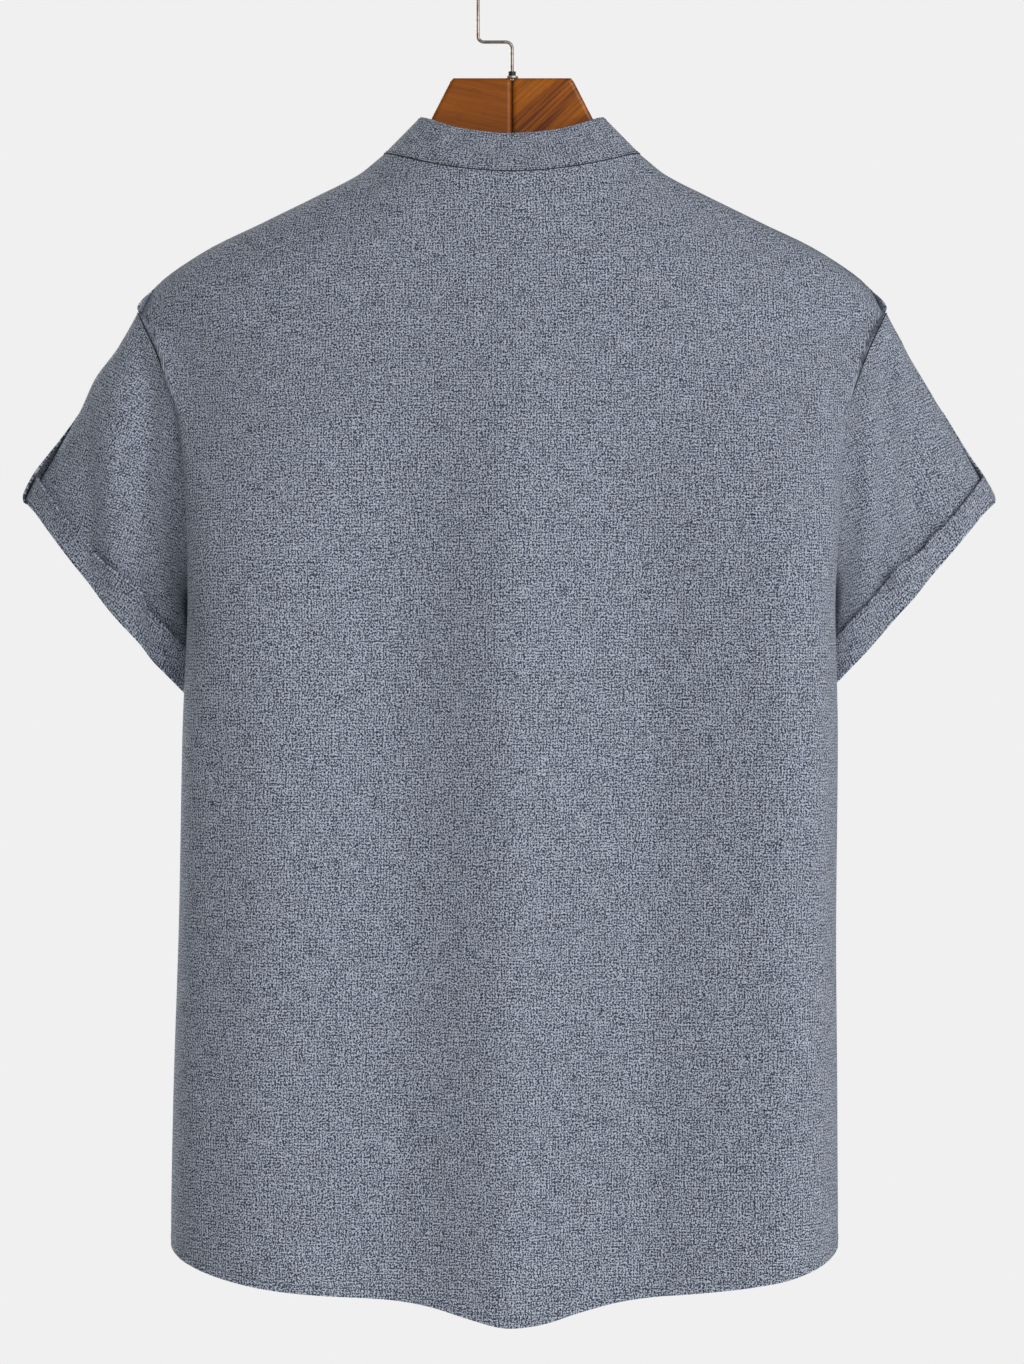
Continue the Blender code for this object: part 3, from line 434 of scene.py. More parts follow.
def panel_point(face, share, edge_z):
    """A point of a front or back panel. share runs from 0 at the centre to 1 or -1 at the
    outer edge, which it meets at edge_z."""
    size = abs(share)
    centre_z = centre_height(face, edge_z)
    plain_z = centre_z + (edge_z - centre_z) * size**HEM_CURVE
    neck_across, neck_z = neckline_across(face, size)
    rise = eased((edge_z - SHOULDER_TIP_Z) / (NECK_SIDE_Z - SHOULDER_TIP_Z))
    across = size + (neck_across - size) * rise
    z = plain_z + (neck_z - plain_z) * rise
    if face == "back":
        near_hem = eased(1 - (edge_z - SIDE_HEM_Z) / TAIL_RUN)
        x = section_value("half", edge_z) * math.sin(math.pi / 2 * share)
        z -= TAIL_DROP * near_hem * bell(x - TAIL_X, TAIL_WIDTH)
    return torso_point(face, math.copysign(across, share), z, (*panel_edge(edge_z), edge_z))


# ================================================================ coarse grids of the cloth
def grid_normals(points, ring, outward):
    """Unit normals of a grid of points. outward is 1 or -1, for the side that shows."""
    if ring:
        along = np.roll(points, -1, axis=1) - np.roll(points, 1, axis=1)
    else:
        along = np.gradient(points, axis=1)
    up = np.gradient(points, axis=0)
    normals = outward * np.cross(up, along)
    return normals / np.linalg.norm(normals, axis=2, keepdims=True)


def is_at_arm(row):
    """Whether this row of a torso panel ends at the armhole, and not at a seam's end."""
    return ROWS_BELOW_ARM < row < ROWS_BELOW_ARM + ROWS_AT_ARM


def even_out(points, edges):
    """Softens the cloth's turn at the height of the shoulder tip, along each column."""
    tip = ROWS_BELOW_ARM + ROWS_AT_ARM
    free = np.setdiff1d(np.arange(points.shape[1]), np.arange(points.shape[1])[list(edges)])
    for _ in range(SHOULDER_EASE):
        steps = np.linalg.norm(np.diff(points[:, free], axis=0), axis=2)
        y = points[:, free, 1]
        for row in range(tip - SHOULDER_EASE_ROWS, tip + SHOULDER_EASE_ROWS):
            below, above = steps[row - 1], steps[row]
            level = (y[row - 1] * above + y[row + 1] * below) / (above + below)
            strength = 0.5 * (1 - ((row - tip) / SHOULDER_EASE_ROWS) ** 2)
            points[row, free, 1] += (level - y[row]) * strength


def torso_grid(face, shares_at, outward, edges):
    """Points and normals of a torso panel. edges are its columns that are sewn: there, at
    the side and the shoulder, it keeps half a seam gap and its edge is cut square."""
    heights = edge_heights()
    points = np.array([[panel_point(face, share, z) for share in shares_at(z)] for z in heights])
    even_out(points, edges)
    normals = grid_normals(points, False, outward)
    for column in edges:
        for row in range(len(heights)):
            if not is_at_arm(row):
                points[row, column, 1] += SEAM_GAP / 2 * (1 if face == "back" else -1)
                normals[row, column, 1] = 0
                normals[row, column] /= np.linalg.norm(normals[row, column])
    return points, normals


def share_at_x(edge_z, x):
    """The share at which a front's row is this far from its centre line."""
    centre = panel_point("front", 0, edge_z).x
    return halved(0.0, 0.3, lambda share: panel_point("front", share, edge_z).x - centre < x)


def front_grid(side):
    """Points and normals of a front. side is 1 for the wearer's left, which lies on top.
    Its first three columns are the placket's edges and middle."""

    def shares_at(edge_z):
        near = share_at_x(edge_z, OVERLAP)
        rest = np.linspace(near, 1, FRONT_COLUMNS - 1)
        return side * np.array([-near, 0, *rest])

    points, normals = torso_grid("front", shares_at, -side, (-1,))
    if side < 0:
        for row in points:
            for point in row:
                lap = 1 - eased((-point[0] - 1.1 * OVERLAP) / OVERLAP)
                point[1] += UNDERLAP_DROP * lap
    return points, normals


# ================================================================ sleeves and cuffs
# These describe the left sleeve. The right one is its mirror image, with its own cuff.
def cuff_point(which, turn):
    """The sleeve's end, round the same turns as the armhole."""
    outer, inner = CUFF_OUTER[which], CUFF_INNER[which]
    middle, half = (outer + inner) / 2, (outer - inner) / 2
    bow = CUFF_BOW[which] * math.sin(turn) ** 2
    beyond = Vector((half.z, 0, -half.x)).normalized() * bow
    depth = Vector((0, CUFF_HALF_DEPTH * math.sin(turn), 0))
    return middle + half * math.cos(turn) + depth + beyond


def arm_turns():
    return [math.pi * k / ROWS_AT_ARM for k in range(2 * ROWS_AT_ARM)]


def sleeve_length(which, turn):
    return (cuff_point(which, turn) - armhole_point(turn)).length


def sleeve_point(which, turn, down):
    """A point of a sleeve. down is 0 at the armhole and 1 at the cuff's edge."""
    point = armhole_point(turn).lerp(cuff_point(which, turn), down)
    # Room under the arm: most a fifth of the way down, none at the armhole and the cuff,
    # and less along the seam under the arm than beside it.
    between = 3.5 * (1 - min(down, 1.0)) ** 2 * max(down, 0.0) ** 0.5
    low = ((1 - math.cos(turn)) / 2) ** 2 * (0.30 + 0.70 * min(1, 3 * abs(math.sin(turn))))
    point.x += UNDERARM_ROOM * low * between
    point.z += UNDERARM_LIFT * low * between
    # The folds grow below the armhole, halve towards the cuff, and end at the arm's top.
    folds = sum(height * bell(point.x - x, width) for x, width, height in SLEEVE_FOLDS)
    folds *= eased(3 * down) * (1 - 0.5 * eased((down - 0.6) / 0.4))
    folds *= min(1, 1.6 * abs(math.sin(turn)))
    point.y += math.copysign(folds, math.sin(turn))
    return point


def sleeve_normal(which, turn, down):
    """The direction out of a sleeve at one of its points."""
    step = 0.01
    round_arm = sleeve_point(which, turn + step, down) - sleeve_point(which, turn - step, down)
    along = sleeve_point(which, turn, down + step)
    along = along - sleeve_point(which, turn, max(down - step, 0))
    return along.cross(round_arm).normalized()


def sleeve_grid(which):
    """Middle points of a sleeve, in rings from the armhole to the cuff."""
    downs = np.linspace(0, 1, SLEEVE_ROWS) ** 1.1
    return np.array([[sleeve_point(which, turn, down) for turn in arm_turns()] for down in downs])


def mirrored(points):
    """The same points on the other side of the shirt."""
    return points * np.array((-1.0, 1.0, 1.0))


def armhole_rows(side):
    """For each turn round the armhole: the panel it meets, and the row and column there."""
    low, count = ROWS_BELOW_ARM, ROWS_AT_ARM
    back = [("back", low + count - k, -1 if side > 0 else 0) for k in range(count + 1)]
    return back + [("front", low + k, -1) for k in range(1, count)]


def seam_normals(side, panels, sleeve_normals):
    """Gives the armhole's two edges one shared thickness direction, halfway between the
    panel's and the sleeve's, so that the cut faces lie against each other."""
    directions = []
    for k, (face, row, column) in enumerate(armhole_rows(side)):
        normals = panels[face][1]
        own = normals[row, column].copy()
        halfway = own + sleeve_normals[0, k]
        if not is_at_arm(row):
            halfway[1] = 0
        halfway /= np.linalg.norm(halfway)
        halfway *= min(1 / max(halfway @ own, 0.1), 1.4)
        directions.append(halfway)
        normals[row, column] = halfway
        if not is_at_arm(row):
            panels["front"][1][row, -1] = halfway
    sleeve_normals[0] = directions


def open_armhole(side, panels, points):
    """Moves the sleeve's first ring a seam gap away from the panels' edges."""
    for k, (face, row, column) in enumerate(armhole_rows(side)):
        inner = 1 if column == 0 else -2
        grid = panels[face][0]
        away = grid[row, column] - grid[row, inner]
        away = away / np.linalg.norm(away)
        ahead = points[1, k] - points[0, k]
        ahead = ahead / np.linalg.norm(ahead)
        away = away + ahead
        if not is_at_arm(row):
            away[1] = 0
        points[0, k] += ARMHOLE_GAP * away / np.linalg.norm(away)


def cuff_height(turn):
    """The turned-up band is lower on the outer half of the arm than under it."""
    outer, inner = CUFF_HEIGHT
    start, run = CUFF_HEIGHT_TURN
    degrees = abs(math.degrees(math.remainder(turn, 2 * math.pi)))
    return outer + (inner - outer) * eased((degrees - start) / run)


def turn_at_depth(which, down, y):
    """The turn near the sleeve's top line where its surface has this y."""
    return halved(-1.5, 0.5, lambda turn: sleeve_point(which, turn, down).y < y)


def tab_y(which, down, across):
    """Where the tab lies: across is -1 at its front edge and 1 at its hind edge."""
    slant = TAB_SLANT[which] * eased((0.9 - down) / 0.4)
    return TAB_BACK_EDGE[which] - slant - TAB_WIDTH * (1 - across) / 2


def neck_frame(face, share):
    """A point of the neck seam, with the panel's way up there and its way out."""
    point = panel_point(face, share, NECK_SIDE_Z)
    up = (point - panel_point(face, share, NECK_SIDE_Z - 0.004)).normalized()
    ahead = panel_point(face, min(share + 0.02, 1.0), NECK_SIDE_Z)
    along = ahead - panel_point(face, share - 0.02, NECK_SIDE_Z)
    out = up.cross(along).normalized()
    if (out.y < 0) == (face == "back"):
        out = -out
    return point, up, out


def collar_column(face, share, side):
    """One upright column of the collar band, from its seam to its top edge."""
    point, up, out = neck_frame(face, share)
    if share > 0.999:
        up.y, out.y = 0, 0
        up, out = up.normalized(), out.normalized()
    back_kept, front_kept = COLLAR_KEPT_DEPTH
    behind = eased((point.y - COLLAR_KEPT_FROM) / COLLAR_KEPT_RUN)
    kept = front_kept + (back_kept - front_kept) * behind
    top_x = point.x * COLLAR_TOP_HALF_WIDTH / NECK_HALF_WIDTH
    top_y = NECK_AXIS_Y + (point.y - NECK_AXIS_Y) * kept
    height = COLLAR_HEIGHT
    from_end = point.x - COLLAR_FRONT_X
    if face == "front" and from_end < COLLAR_CORNER:
        beside = COLLAR_CORNER - max(from_end, 0.0)
        height -= COLLAR_CORNER - math.sqrt(COLLAR_CORNER**2 - 0.96 * beside**2)
    lean = Vector((top_x - point.x, top_y - point.y, 0)) * height / COLLAR_HEIGHT
    rise = Vector((lean.x, lean.y, math.sqrt(height**2 - lean.length_squared)))
    base = point + COLLAR_SEAM_GAP * (up + rise.normalized()).normalized()
    column = [base + rise * step / COLLAR_ROWS for step in range(COLLAR_ROWS + 1)]
    return [(side * p.x, p.y, p.z) for p in column], (side * out.x, out.y, out.z)


# ================================================================ fine sheets
# Fine rows and columns for each coarse one.
FINE_STEPS = {
    "torso": (5, 6),
    "sleeve": (8, 5),
    "collar": (6, 5),
    "placket": (5, 8),
    "cuff": (4, 5),
    "tab": (4, 3),
}

# Soft troughs and ridges of the cloth: the piece, where each starts and ends in the
# upright plane, its half width, and how far its middle stands out.
CREASES = (
    ("back", 0.236, -0.246, 0.222, -0.300, 0.0060, 0.0022),
    ("back", 0.226, -0.240, 0.196, -0.330, 0.0090, -0.0016),
    ("back", -0.240, -0.250, -0.226, -0.285, 0.0050, 0.0016),
    ("back", -0.196, -0.215, -0.204, -0.420, 0.0080, 0.0014),
    ("back", -0.160, -0.190, -0.110, -0.330, 0.0160, -0.0012),
    ("back", 0.150, -0.200, 0.070, -0.400, 0.0220, -0.0010),
    ("back", 0.060, -0.160, 0.100, -0.215, 0.0100, 0.0008),
    ("back", -0.065, -0.160, -0.100, -0.210, 0.0100, 0.0007),
    ("back", 0.201, -0.380, 0.206, -0.860, 0.0130, 0.0030),
    ("back", -0.196, -0.360, -0.198, -0.860, 0.0120, 0.0020),
    ("back", 0.120, -0.620, 0.150, -0.860, 0.0240, -0.0016),
    ("back", -0.020, -0.300, -0.004, -0.520, 0.0160, -0.0010),
    ("back", -0.072, -0.560, -0.066, -0.860, 0.0180, 0.0014),
    ("back", 0.086, -0.520, 0.094, -0.840, 0.0180, 0.0012),
    ("front_left", 0.232, -0.250, 0.205, -0.330, 0.0080, 0.0018),
    ("front_left", 0.120, -0.170, 0.050, -0.330, 0.0150, -0.0014),
    ("front_left", 0.186, -0.400, 0.170, -0.740, 0.0120, 0.0014),
    ("front_left", 0.040, -0.420, 0.046, -0.800, 0.0110, 0.0012),
    ("front_right", -0.232, -0.252, -0.206, -0.340, 0.0080, 0.0016),
    ("front_right", -0.112, -0.168, -0.046, -0.310, 0.0150, -0.0012),
    ("front_right", -0.184, -0.380, -0.172, -0.700, 0.0120, 0.0013),
    ("front_right", -0.044, -0.480, -0.040, -0.830, 0.0110, 0.0012),
    ("sleeve_left", 0.270, -0.262, 0.262, -0.430, 0.0110, 0.0050),
    ("sleeve_left", 0.242, -0.262, 0.218, -0.440, 0.0130, -0.0050),
    ("sleeve_left", 0.296, -0.330, 0.300, -0.388, 0.0080, -0.0016),
    ("sleeve_right", -0.236, -0.256, -0.232, -0.440, 0.0080, 0.0040),
    ("sleeve_right", -0.248, -0.258, -0.260, -0.430, 0.0130, -0.0070),
    ("sleeve_right", -0.268, -0.300, -0.292, -0.400, 0.0120, 0.0030),
)


def finer(points, normals, steps, axis, ring=False):
    """More points on smooth curves through a grid's own points, with their normals."""
    grid = np.moveaxis(np.concatenate([points, normals], axis=2), axis, 0)
    if ring:
        grid = np.concatenate([grid[-1:], grid, grid[:2]])
    gaps = np.linalg.norm(np.diff(grid[:, :, :3], axis=0), axis=2).mean(axis=1)
    slopes = np.diff(grid, axis=0) / gaps[:, None, None]
    tangents = np.empty_like(grid)
    before, after = gaps[:-1, None, None], gaps[1:, None, None]
    tangents[1:-1] = (slopes[:-1] * after + slopes[1:] * before) / (before + after)
    tangents[0], tangents[-1] = slopes[0], slopes[-1]
    t = np.arange(steps)[None, :, None, None] / steps
    low, high = grid[:-1, None], grid[1:, None]
    span = gaps[:, None, None, None]
    fine = low * (1 + 2 * t) * (1 - t) ** 2 + high * t * t * (3 - 2 * t)
    fine = fine + span * tangents[:-1, None] * t * (1 - t) ** 2
    fine = fine - span * tangents[1:, None] * t * t * (1 - t)
    if ring:
        fine = fine[1:-1]
    fine = fine.reshape(-1, *grid.shape[1:])
    if not ring:
        fine = np.concatenate([fine, grid[-1:]])
    fine = np.moveaxis(fine, 0, axis)
    return fine[:, :, :3], fine[:, :, 3:]


def fine_sheet(kind, points, normals, ring=False):
    """A fine grid for a piece of this kind, with its normals."""
    rows, columns = FINE_STEPS[kind]
    points, normals = finer(points, normals, rows, 0)
    return finer(points, normals, columns, 1, ring)


def crease_relief(name, points, depth):
    """How far each point of a fine sheet stands out for the piece's own creases."""
    x, z = points[:, :, 0], points[:, :, 2]
    total = np.zeros(x.shape)
    for piece, x0, z0, x1, z1, width, height in CREASES:
        if piece != name:
            continue
        run = np.array((x1 - x0, z1 - z0))
        length = np.linalg.norm(run)
        run /= length
        # The crease fades out towards both of its ends, and to either side of its line.
        along = ((x - x0) * run[0] + (z - z0) * run[1]) / length
        aside = (x - x0) * run[1] - (z - z0) * run[0]
        fade = np.clip(1 - np.abs(2 * along - 1) ** 3, 0, 1)
        total += height * depth * fade * np.exp(-((aside / width) ** 2))
    return total


def edge_fade(shape, rows, columns):
    """1 inside a sheet and 0 at its sewn edges, over this many fine rows and columns."""
    fades = []
    for count, steps in zip(shape, (rows, columns)):
        inside = np.minimum(np.arange(count), np.arange(count)[::-1])
        fades.append(np.clip(inside / steps, 0, 1) if steps else np.ones(count))
    return np.outer(*fades)


def arc_lengths(grid, axis, keep):
    """Running length along an axis, of the coordinates in keep only."""
    steps = np.linalg.norm(np.diff(grid[:, :, keep], axis=axis), axis=2)
    start = np.zeros_like(np.take(steps, [0], axis=axis))
    return np.cumsum(np.concatenate([start, steps], axis=axis), axis=axis)


def panel_weave(grid):
    """Cloth coordinates of a torso panel: level threads across, upright threads down."""
    u = arc_lengths(grid, 1, [0, 1])
    u -= u[:, [u.shape[1] // 2]]
    v = arc_lengths(grid, 0, [1, 2]) + grid[:1, :, 2]
    return np.stack([u, v], axis=2)


def band_weave(grid, ring=False):
    """Cloth coordinates of a strip: along its middle row and up its height."""
    if ring:
        grid = np.concatenate([grid, grid[:, :1]], axis=1)
    along = arc_lengths(grid[[len(grid) // 2]], 1, [0, 1, 2])
    up = arc_lengths(grid, 0, [0, 1, 2])
    return np.stack([np.broadcast_to(along, up.shape), up], axis=2)


def sleeve_weave(grid, side):
    """Cloth coordinates of a sleeve: its threads run along the arm."""
    grid = np.concatenate([grid, grid[:, :1]], axis=1)
    top, low = ARM_LINE
    flip = np.array((side, 1, 1))
    axis = (low - top) / np.linalg.norm(low - top) * flip
    u = arc_lengths(grid, 1, [0, 1, 2])
    u -= u[:, [u.shape[1] // 2]]
    return np.stack([u * side, -(grid - top * flip) @ axis], axis=2)


# ================================================================ meshes and pieces
def finish_piece(obj, slot_name, *stands_for):
    """A finished piece: rides on the one body and stands for its rigid solids, if any."""
    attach(obj, "root")
    if stands_for:
        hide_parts(*stands_for)


def add_mesh(name, points, faces, material, weave=None, smooth=50):
    """A mesh object at the origin. weave holds the cloth coordinates of each face corner."""
    mesh = bpy.data.meshes.new(name)
    mesh.from_pydata(points.tolist(), [], faces.tolist())
    if weave is not None:
        layer = mesh.uv_layers.new(name="cloth")
        layer.data.foreach_set("uv", weave.astype(np.float32).ravel())
    mesh.materials.append(material)
    mesh.shade_smooth()
    mesh.set_sharp_from_angle(angle=math.radians(smooth))
    mesh.validate()
    obj = bpy.data.objects.new(name, mesh)
    bpy.context.scene.collection.objects.link(obj)
    return obj


def quads(table):
    """The four corners of each face of a grid, in turn."""
    corners = [table[:-1, :-1], table[:-1, 1:], table[1:, 1:], table[1:, :-1]]
    return np.stack(corners, axis=-1).reshape(-1, 4)


def shell(name, outer, inner, weave, material, ring, rim):
    """A closed thin shell between two grids. A line of points rounds each edge: it stands
    out from the middle of the wall by rim, as a share of the wall's thickness."""
    count = outer.shape[0] * outer.shape[1]
    index = np.arange(count).reshape(outer.shape[:2])
    if ring:
        index = np.concatenate([index, index[:, :1]], axis=1)
    corners = np.arange(index.size).reshape(index.shape)
    # Each edge: its points, their cloth coordinates, the way out there, and which way round.
    edges = [
        (index[0], corners[0], outer[0] - outer[1], 1),
        (index[-1], corners[-1], outer[-1] - outer[-2], -1),
    ]
    if not ring:
        edges += [
            (index[:, 0], corners[:, 0], outer[:, 0] - outer[:, 1], -1),
            (index[:, -1], corners[:, -1], outer[:, -1] - outer[:, -2], 1),
        ]
    flat_outer, flat_inner = outer.reshape(-1, 3), inner.reshape(-1, 3)
    middle = (flat_outer + flat_inner) / 2
    rims = {}  # for each point of an edge, its rim points: a sheet's corner has two
    for line, _, away, _ in edges:
        own = line[:-1] if ring else line
        out = away / np.linalg.norm(away, axis=1, keepdims=True)
        wall = np.linalg.norm(flat_outer[own] - flat_inner[own], axis=1, keepdims=True)
        for vertex, point in zip(own, middle[own] + out * wall * rim):
            rims.setdefault(int(vertex), []).append(point)
    number = {vertex: 2 * count + k for k, vertex in enumerate(sorted(rims))}
    extra = np.array([sum(rims[vertex]) / len(rims[vertex]) for vertex in sorted(rims)])
    faces = [quads(index), quads(index)[:, ::-1] + count]
    places = [quads(corners), quads(corners)[:, ::-1]]
    for line, place, _, turn in edges:
        rim_line = np.array([number[int(vertex)] for vertex in line])
        for first, second in ((line, rim_line), (rim_line, line + count)):
            strip = np.stack([first[:-1], second[:-1], second[1:], first[1:]], axis=1)
            spots = np.stack([place[:-1], place[:-1], place[1:], place[1:]], axis=1)
            faces.append(strip[:, ::turn])
            places.append(spots[:, ::turn])
    corner_weave = weave.reshape(-1, 2)[np.concatenate(places).ravel()]
    points = np.concatenate([flat_outer, flat_inner, extra])
    obj = add_mesh(name, points, np.concatenate(faces), material, corner_weave)
    mesh = bmesh.new()
    mesh.from_mesh(obj.data)
    bmesh.ops.recalc_face_normals(mesh, faces=mesh.faces)
    if mesh.calc_volume(signed=True) < 0:
        bmesh.ops.reverse_faces(mesh, faces=mesh.faces)
    mesh.to_mesh(obj.data)
    mesh.free()
    return obj


SEWN = {}  # outer faces of finished sheets and their normals, for the sewing
COARSE = {}  # points and normals of the torso and the sleeves, once they are worked out


def add_sheet(name, outer, inner, normals, weave, rests_on, ring=False, rim=0.35):
    """A finished sheet of cloth that stands for its rigid wall."""
    obj = shell(name + "_cloth", outer, inner, weave, cloth_material(), ring, rim)
    finish_piece(obj, "cloth", name)
    SEWN[name] = outer, normals


def even_faces(points, normals, wall):
    """The outer and the inner face of an even wall about its middle points."""
    return points + normals * wall / 2, points - normals * wall / 2


def creased_faces(name, points, normals, fade):
    """The outer and the inner face of thin cloth that has its piece's own creases."""
    cloth = bpy.context.scene.shirt_cloth
    relief = crease_relief(name, points, cloth.crease_depth) * fade
    outer = points + normals * (CLOTH / 2 + relief[:, :, None])
    return outer, outer - normals * cloth.thickness


def coarse_grids():
    """Points and normals of the torso and the sleeves, row by row."""
    if COARSE:
        return COARSE
    shares = np.linspace(-1, 1, BACK_COLUMNS + 1)
    back = torso_grid("back", lambda edge_z: shares, 1, (0, -1))
    COARSE["back"] = back
    for name, side in SIDES:
        front = COARSE["front_" + name] = front_grid(side)
        panels = {"back": back, "front": front}
        points = sleeve_grid(name)
        if side < 0:
            points = mirrored(points)
        normals = grid_normals(points, True, side)
        open_armhole(side, panels, points)
        seam_normals(side, panels, normals)
        half = points.shape[1] // 2
        COARSE["sleeve_" + name] = np.roll(points, half, 1), np.roll(normals, half, 1)
    return COARSE


# ================================================================ shader groups
def feed(tree, socket, value):
    """Links a socket to another one, or gives it a constant."""
    if isinstance(value, bpy.types.NodeSocket):
        tree.links.new(value, socket)
    else:
        socket.default_value = value


def add_node(tree, kind, values=(), **settings):
    """A node with these settings. values are what its sockets are fed, by name or number."""
    node = tree.nodes.new(kind)
    for key, value in settings.items():
        setattr(node, key, value)
    for key, value in dict(values).items():
        feed(tree, node.inputs[key], value)
    return node


def maths(tree, operation, *values, clamp=False):
    node = add_node(
        tree, "ShaderNodeMath", enumerate(values), operation=operation, use_clamp=clamp
    )
    return node.outputs[0]


def mixed(tree, share, first, second):
    """A colour between two."""
    values = {0: share, 6: first, 7: second}
    return add_node(tree, "ShaderNodeMix", values, data_type="RGBA").outputs[2]


def noise_at(tree, vector, detail, dimensions):
    values = {"Vector": vector, "Scale": 1.0, "Detail": detail}
    return add_node(tree, "ShaderNodeTexNoise", values, noise_dimensions=dimensions).outputs[0]


def stretched_noise(tree, u, v, u_rate, v_rate, shift, detail):
    """Noise on a plane, with u and v taken at their own rates."""
    combine = tree.nodes.new("ShaderNodeCombineXYZ")
    for socket, place, rate in zip(combine.inputs, (u, v), (u_rate, v_rate)):
        tree.links.new(maths(tree, "MULTIPLY_ADD", place, rate, shift), socket)
    return noise_at(tree, combine.outputs[0], detail, "2D")


def ramped(tree, value, low, high):
    """0 below low, 1 above high, and smooth between."""
    node = add_node(
        tree,
        "ShaderNodeMapRange",
        {"Value": value, "From Min": low, "From Max": high},
        interpolation_type="SMOOTHSTEP",
    )
    return node.outputs[0]


def new_group(name, inputs, colour_output=True):
    """A shader group on a vector, with these inputs and their defaults. It gives a colour,
    or else a value, and a height."""
    group = bpy.data.node_groups.new(name, "ShaderNodeTree")
    group.interface.new_socket("Vector", in_out="INPUT", socket_type="NodeSocketVector")
    for label, default in inputs.items():
        kind = "NodeSocketColor" if isinstance(default, tuple) else "NodeSocketFloat"
        socket = group.interface.new_socket(label, in_out="INPUT", socket_type=kind)
        socket.default_value = default
    first = ("Color", "NodeSocketColor") if colour_output else ("Value", "NodeSocketFloat")
    for label, kind in (first, ("Height", "NodeSocketFloat")):
        group.interface.new_socket(label, in_out="OUTPUT", socket_type=kind)
    start = group.nodes.new("NodeGroupInput")
    end = group.nodes.new("NodeGroupOutput")
    return group, start.outputs, end.inputs


def slub_weave_group():
    """Plain weave of uneven light and dark yarns, on cloth coordinates in metres."""
    name = "slub_weave"
    if name in bpy.data.node_groups:
        return bpy.data.node_groups[name]
    group, given, wanted = new_group(
        name,
        {
            "Yarns per Metre": 520.0,
            "Weave": 0.1,
            "Mottle": 2.0,
            "Slub": 0.5,
            "Slub Length": 5.0,
            "Lightness": 0.5,
            "Dark Yarn": (0.05, 0.07, 0.10, 1),
            "Middle": (0.2, 0.23, 0.3, 1),
            "Light Yarn": (0.6, 0.62, 0.65, 1),
        },
    )
    split = add_node(group, "ShaderNodeSeparateXYZ", {0: given["Vector"]})
    u = maths(group, "MULTIPLY", split.outputs[0], given["Yarns per Metre"])
    v = maths(group, "MULTIPLY", split.outputs[1], given["Yarns per Metre"])
    drift = stretched_noise(group, u, v, 0.45, 0.45, 5.0, 1.0)
    wander = maths(group, "MULTIPLY", drift, 9.0)
    total = given["Lightness"]
    # The same for the upright and for the level yarns: ribs that wander a little, light
    # and dark crossings, and slubs, which are long streaks of a thick or a dark yarn.
    for along, across, shift in ((v, u, 0.0), (u, v, 60.0)):
        ribs = maths(group, "COSINE", maths(group, "MULTIPLY_ADD", across, math.tau, wander))
        total = maths(group, "MULTIPLY_ADD", ribs, given["Weave"], total)
        fine = stretched_noise(group, across, along, 3.6, 1.5, shift, 0.0)
        fine = maths(group, "SUBTRACT", fine, 0.5)
        total = maths(group, "MULTIPLY_ADD", fine, given["Mottle"], total)
        long_way = maths(group, "DIVIDE", along, given["Slub Length"])
        streak = stretched_noise(group, across, long_way, 2.6, 1.0, shift + 20.0, 0.0)
        light, dark = ramped(group, streak, 0.60, 0.80), ramped(group, streak, 0.40, 0.20)
        streak = maths(group, "SUBTRACT", light, dark)
        total = maths(group, "MULTIPLY_ADD", streak, given["Slub"], total)
    value = maths(group, "ADD", total, 0.0, clamp=True)
    lower = maths(group, "MULTIPLY", value, 2.0, clamp=True)
    upper = maths(group, "MULTIPLY_ADD", value, 2.0, -1.0, clamp=True)
    colour = mixed(group, lower, given["Dark Yarn"], given["Middle"])
    colour = mixed(group, upper, colour, given["Light Yarn"])
    group.links.new(colour, wanted["Color"])
    group.links.new(value, wanted["Height"])
    return group


def handling_group():
    """Faint uneven patches that handling leaves on a finish."""
    name = "handling_wear"
    if name in bpy.data.node_groups:
        return bpy.data.node_groups[name]
    inputs = {"Patch Size": 0.01, "Low": 0.3, "High": 0.45}
    group, given, wanted = new_group(name, inputs, colour_output=False)
    rate = maths(group, "DIVIDE", 1.0, given["Patch Size"])
    scaled = add_node(group, "ShaderNodeVectorMath", {0: given["Vector"]}, operation="SCALE")
    group.links.new(rate, scaled.inputs["Scale"])
    patch = noise_at(group, scaled.outputs[0], 4.0, "3D")
    span = maths(group, "SUBTRACT", given["High"], given["Low"])
    group.links.new(maths(group, "MULTIPLY_ADD", patch, span, given["Low"]), wanted["Value"])
    group.links.new(patch, wanted["Height"])
    return group


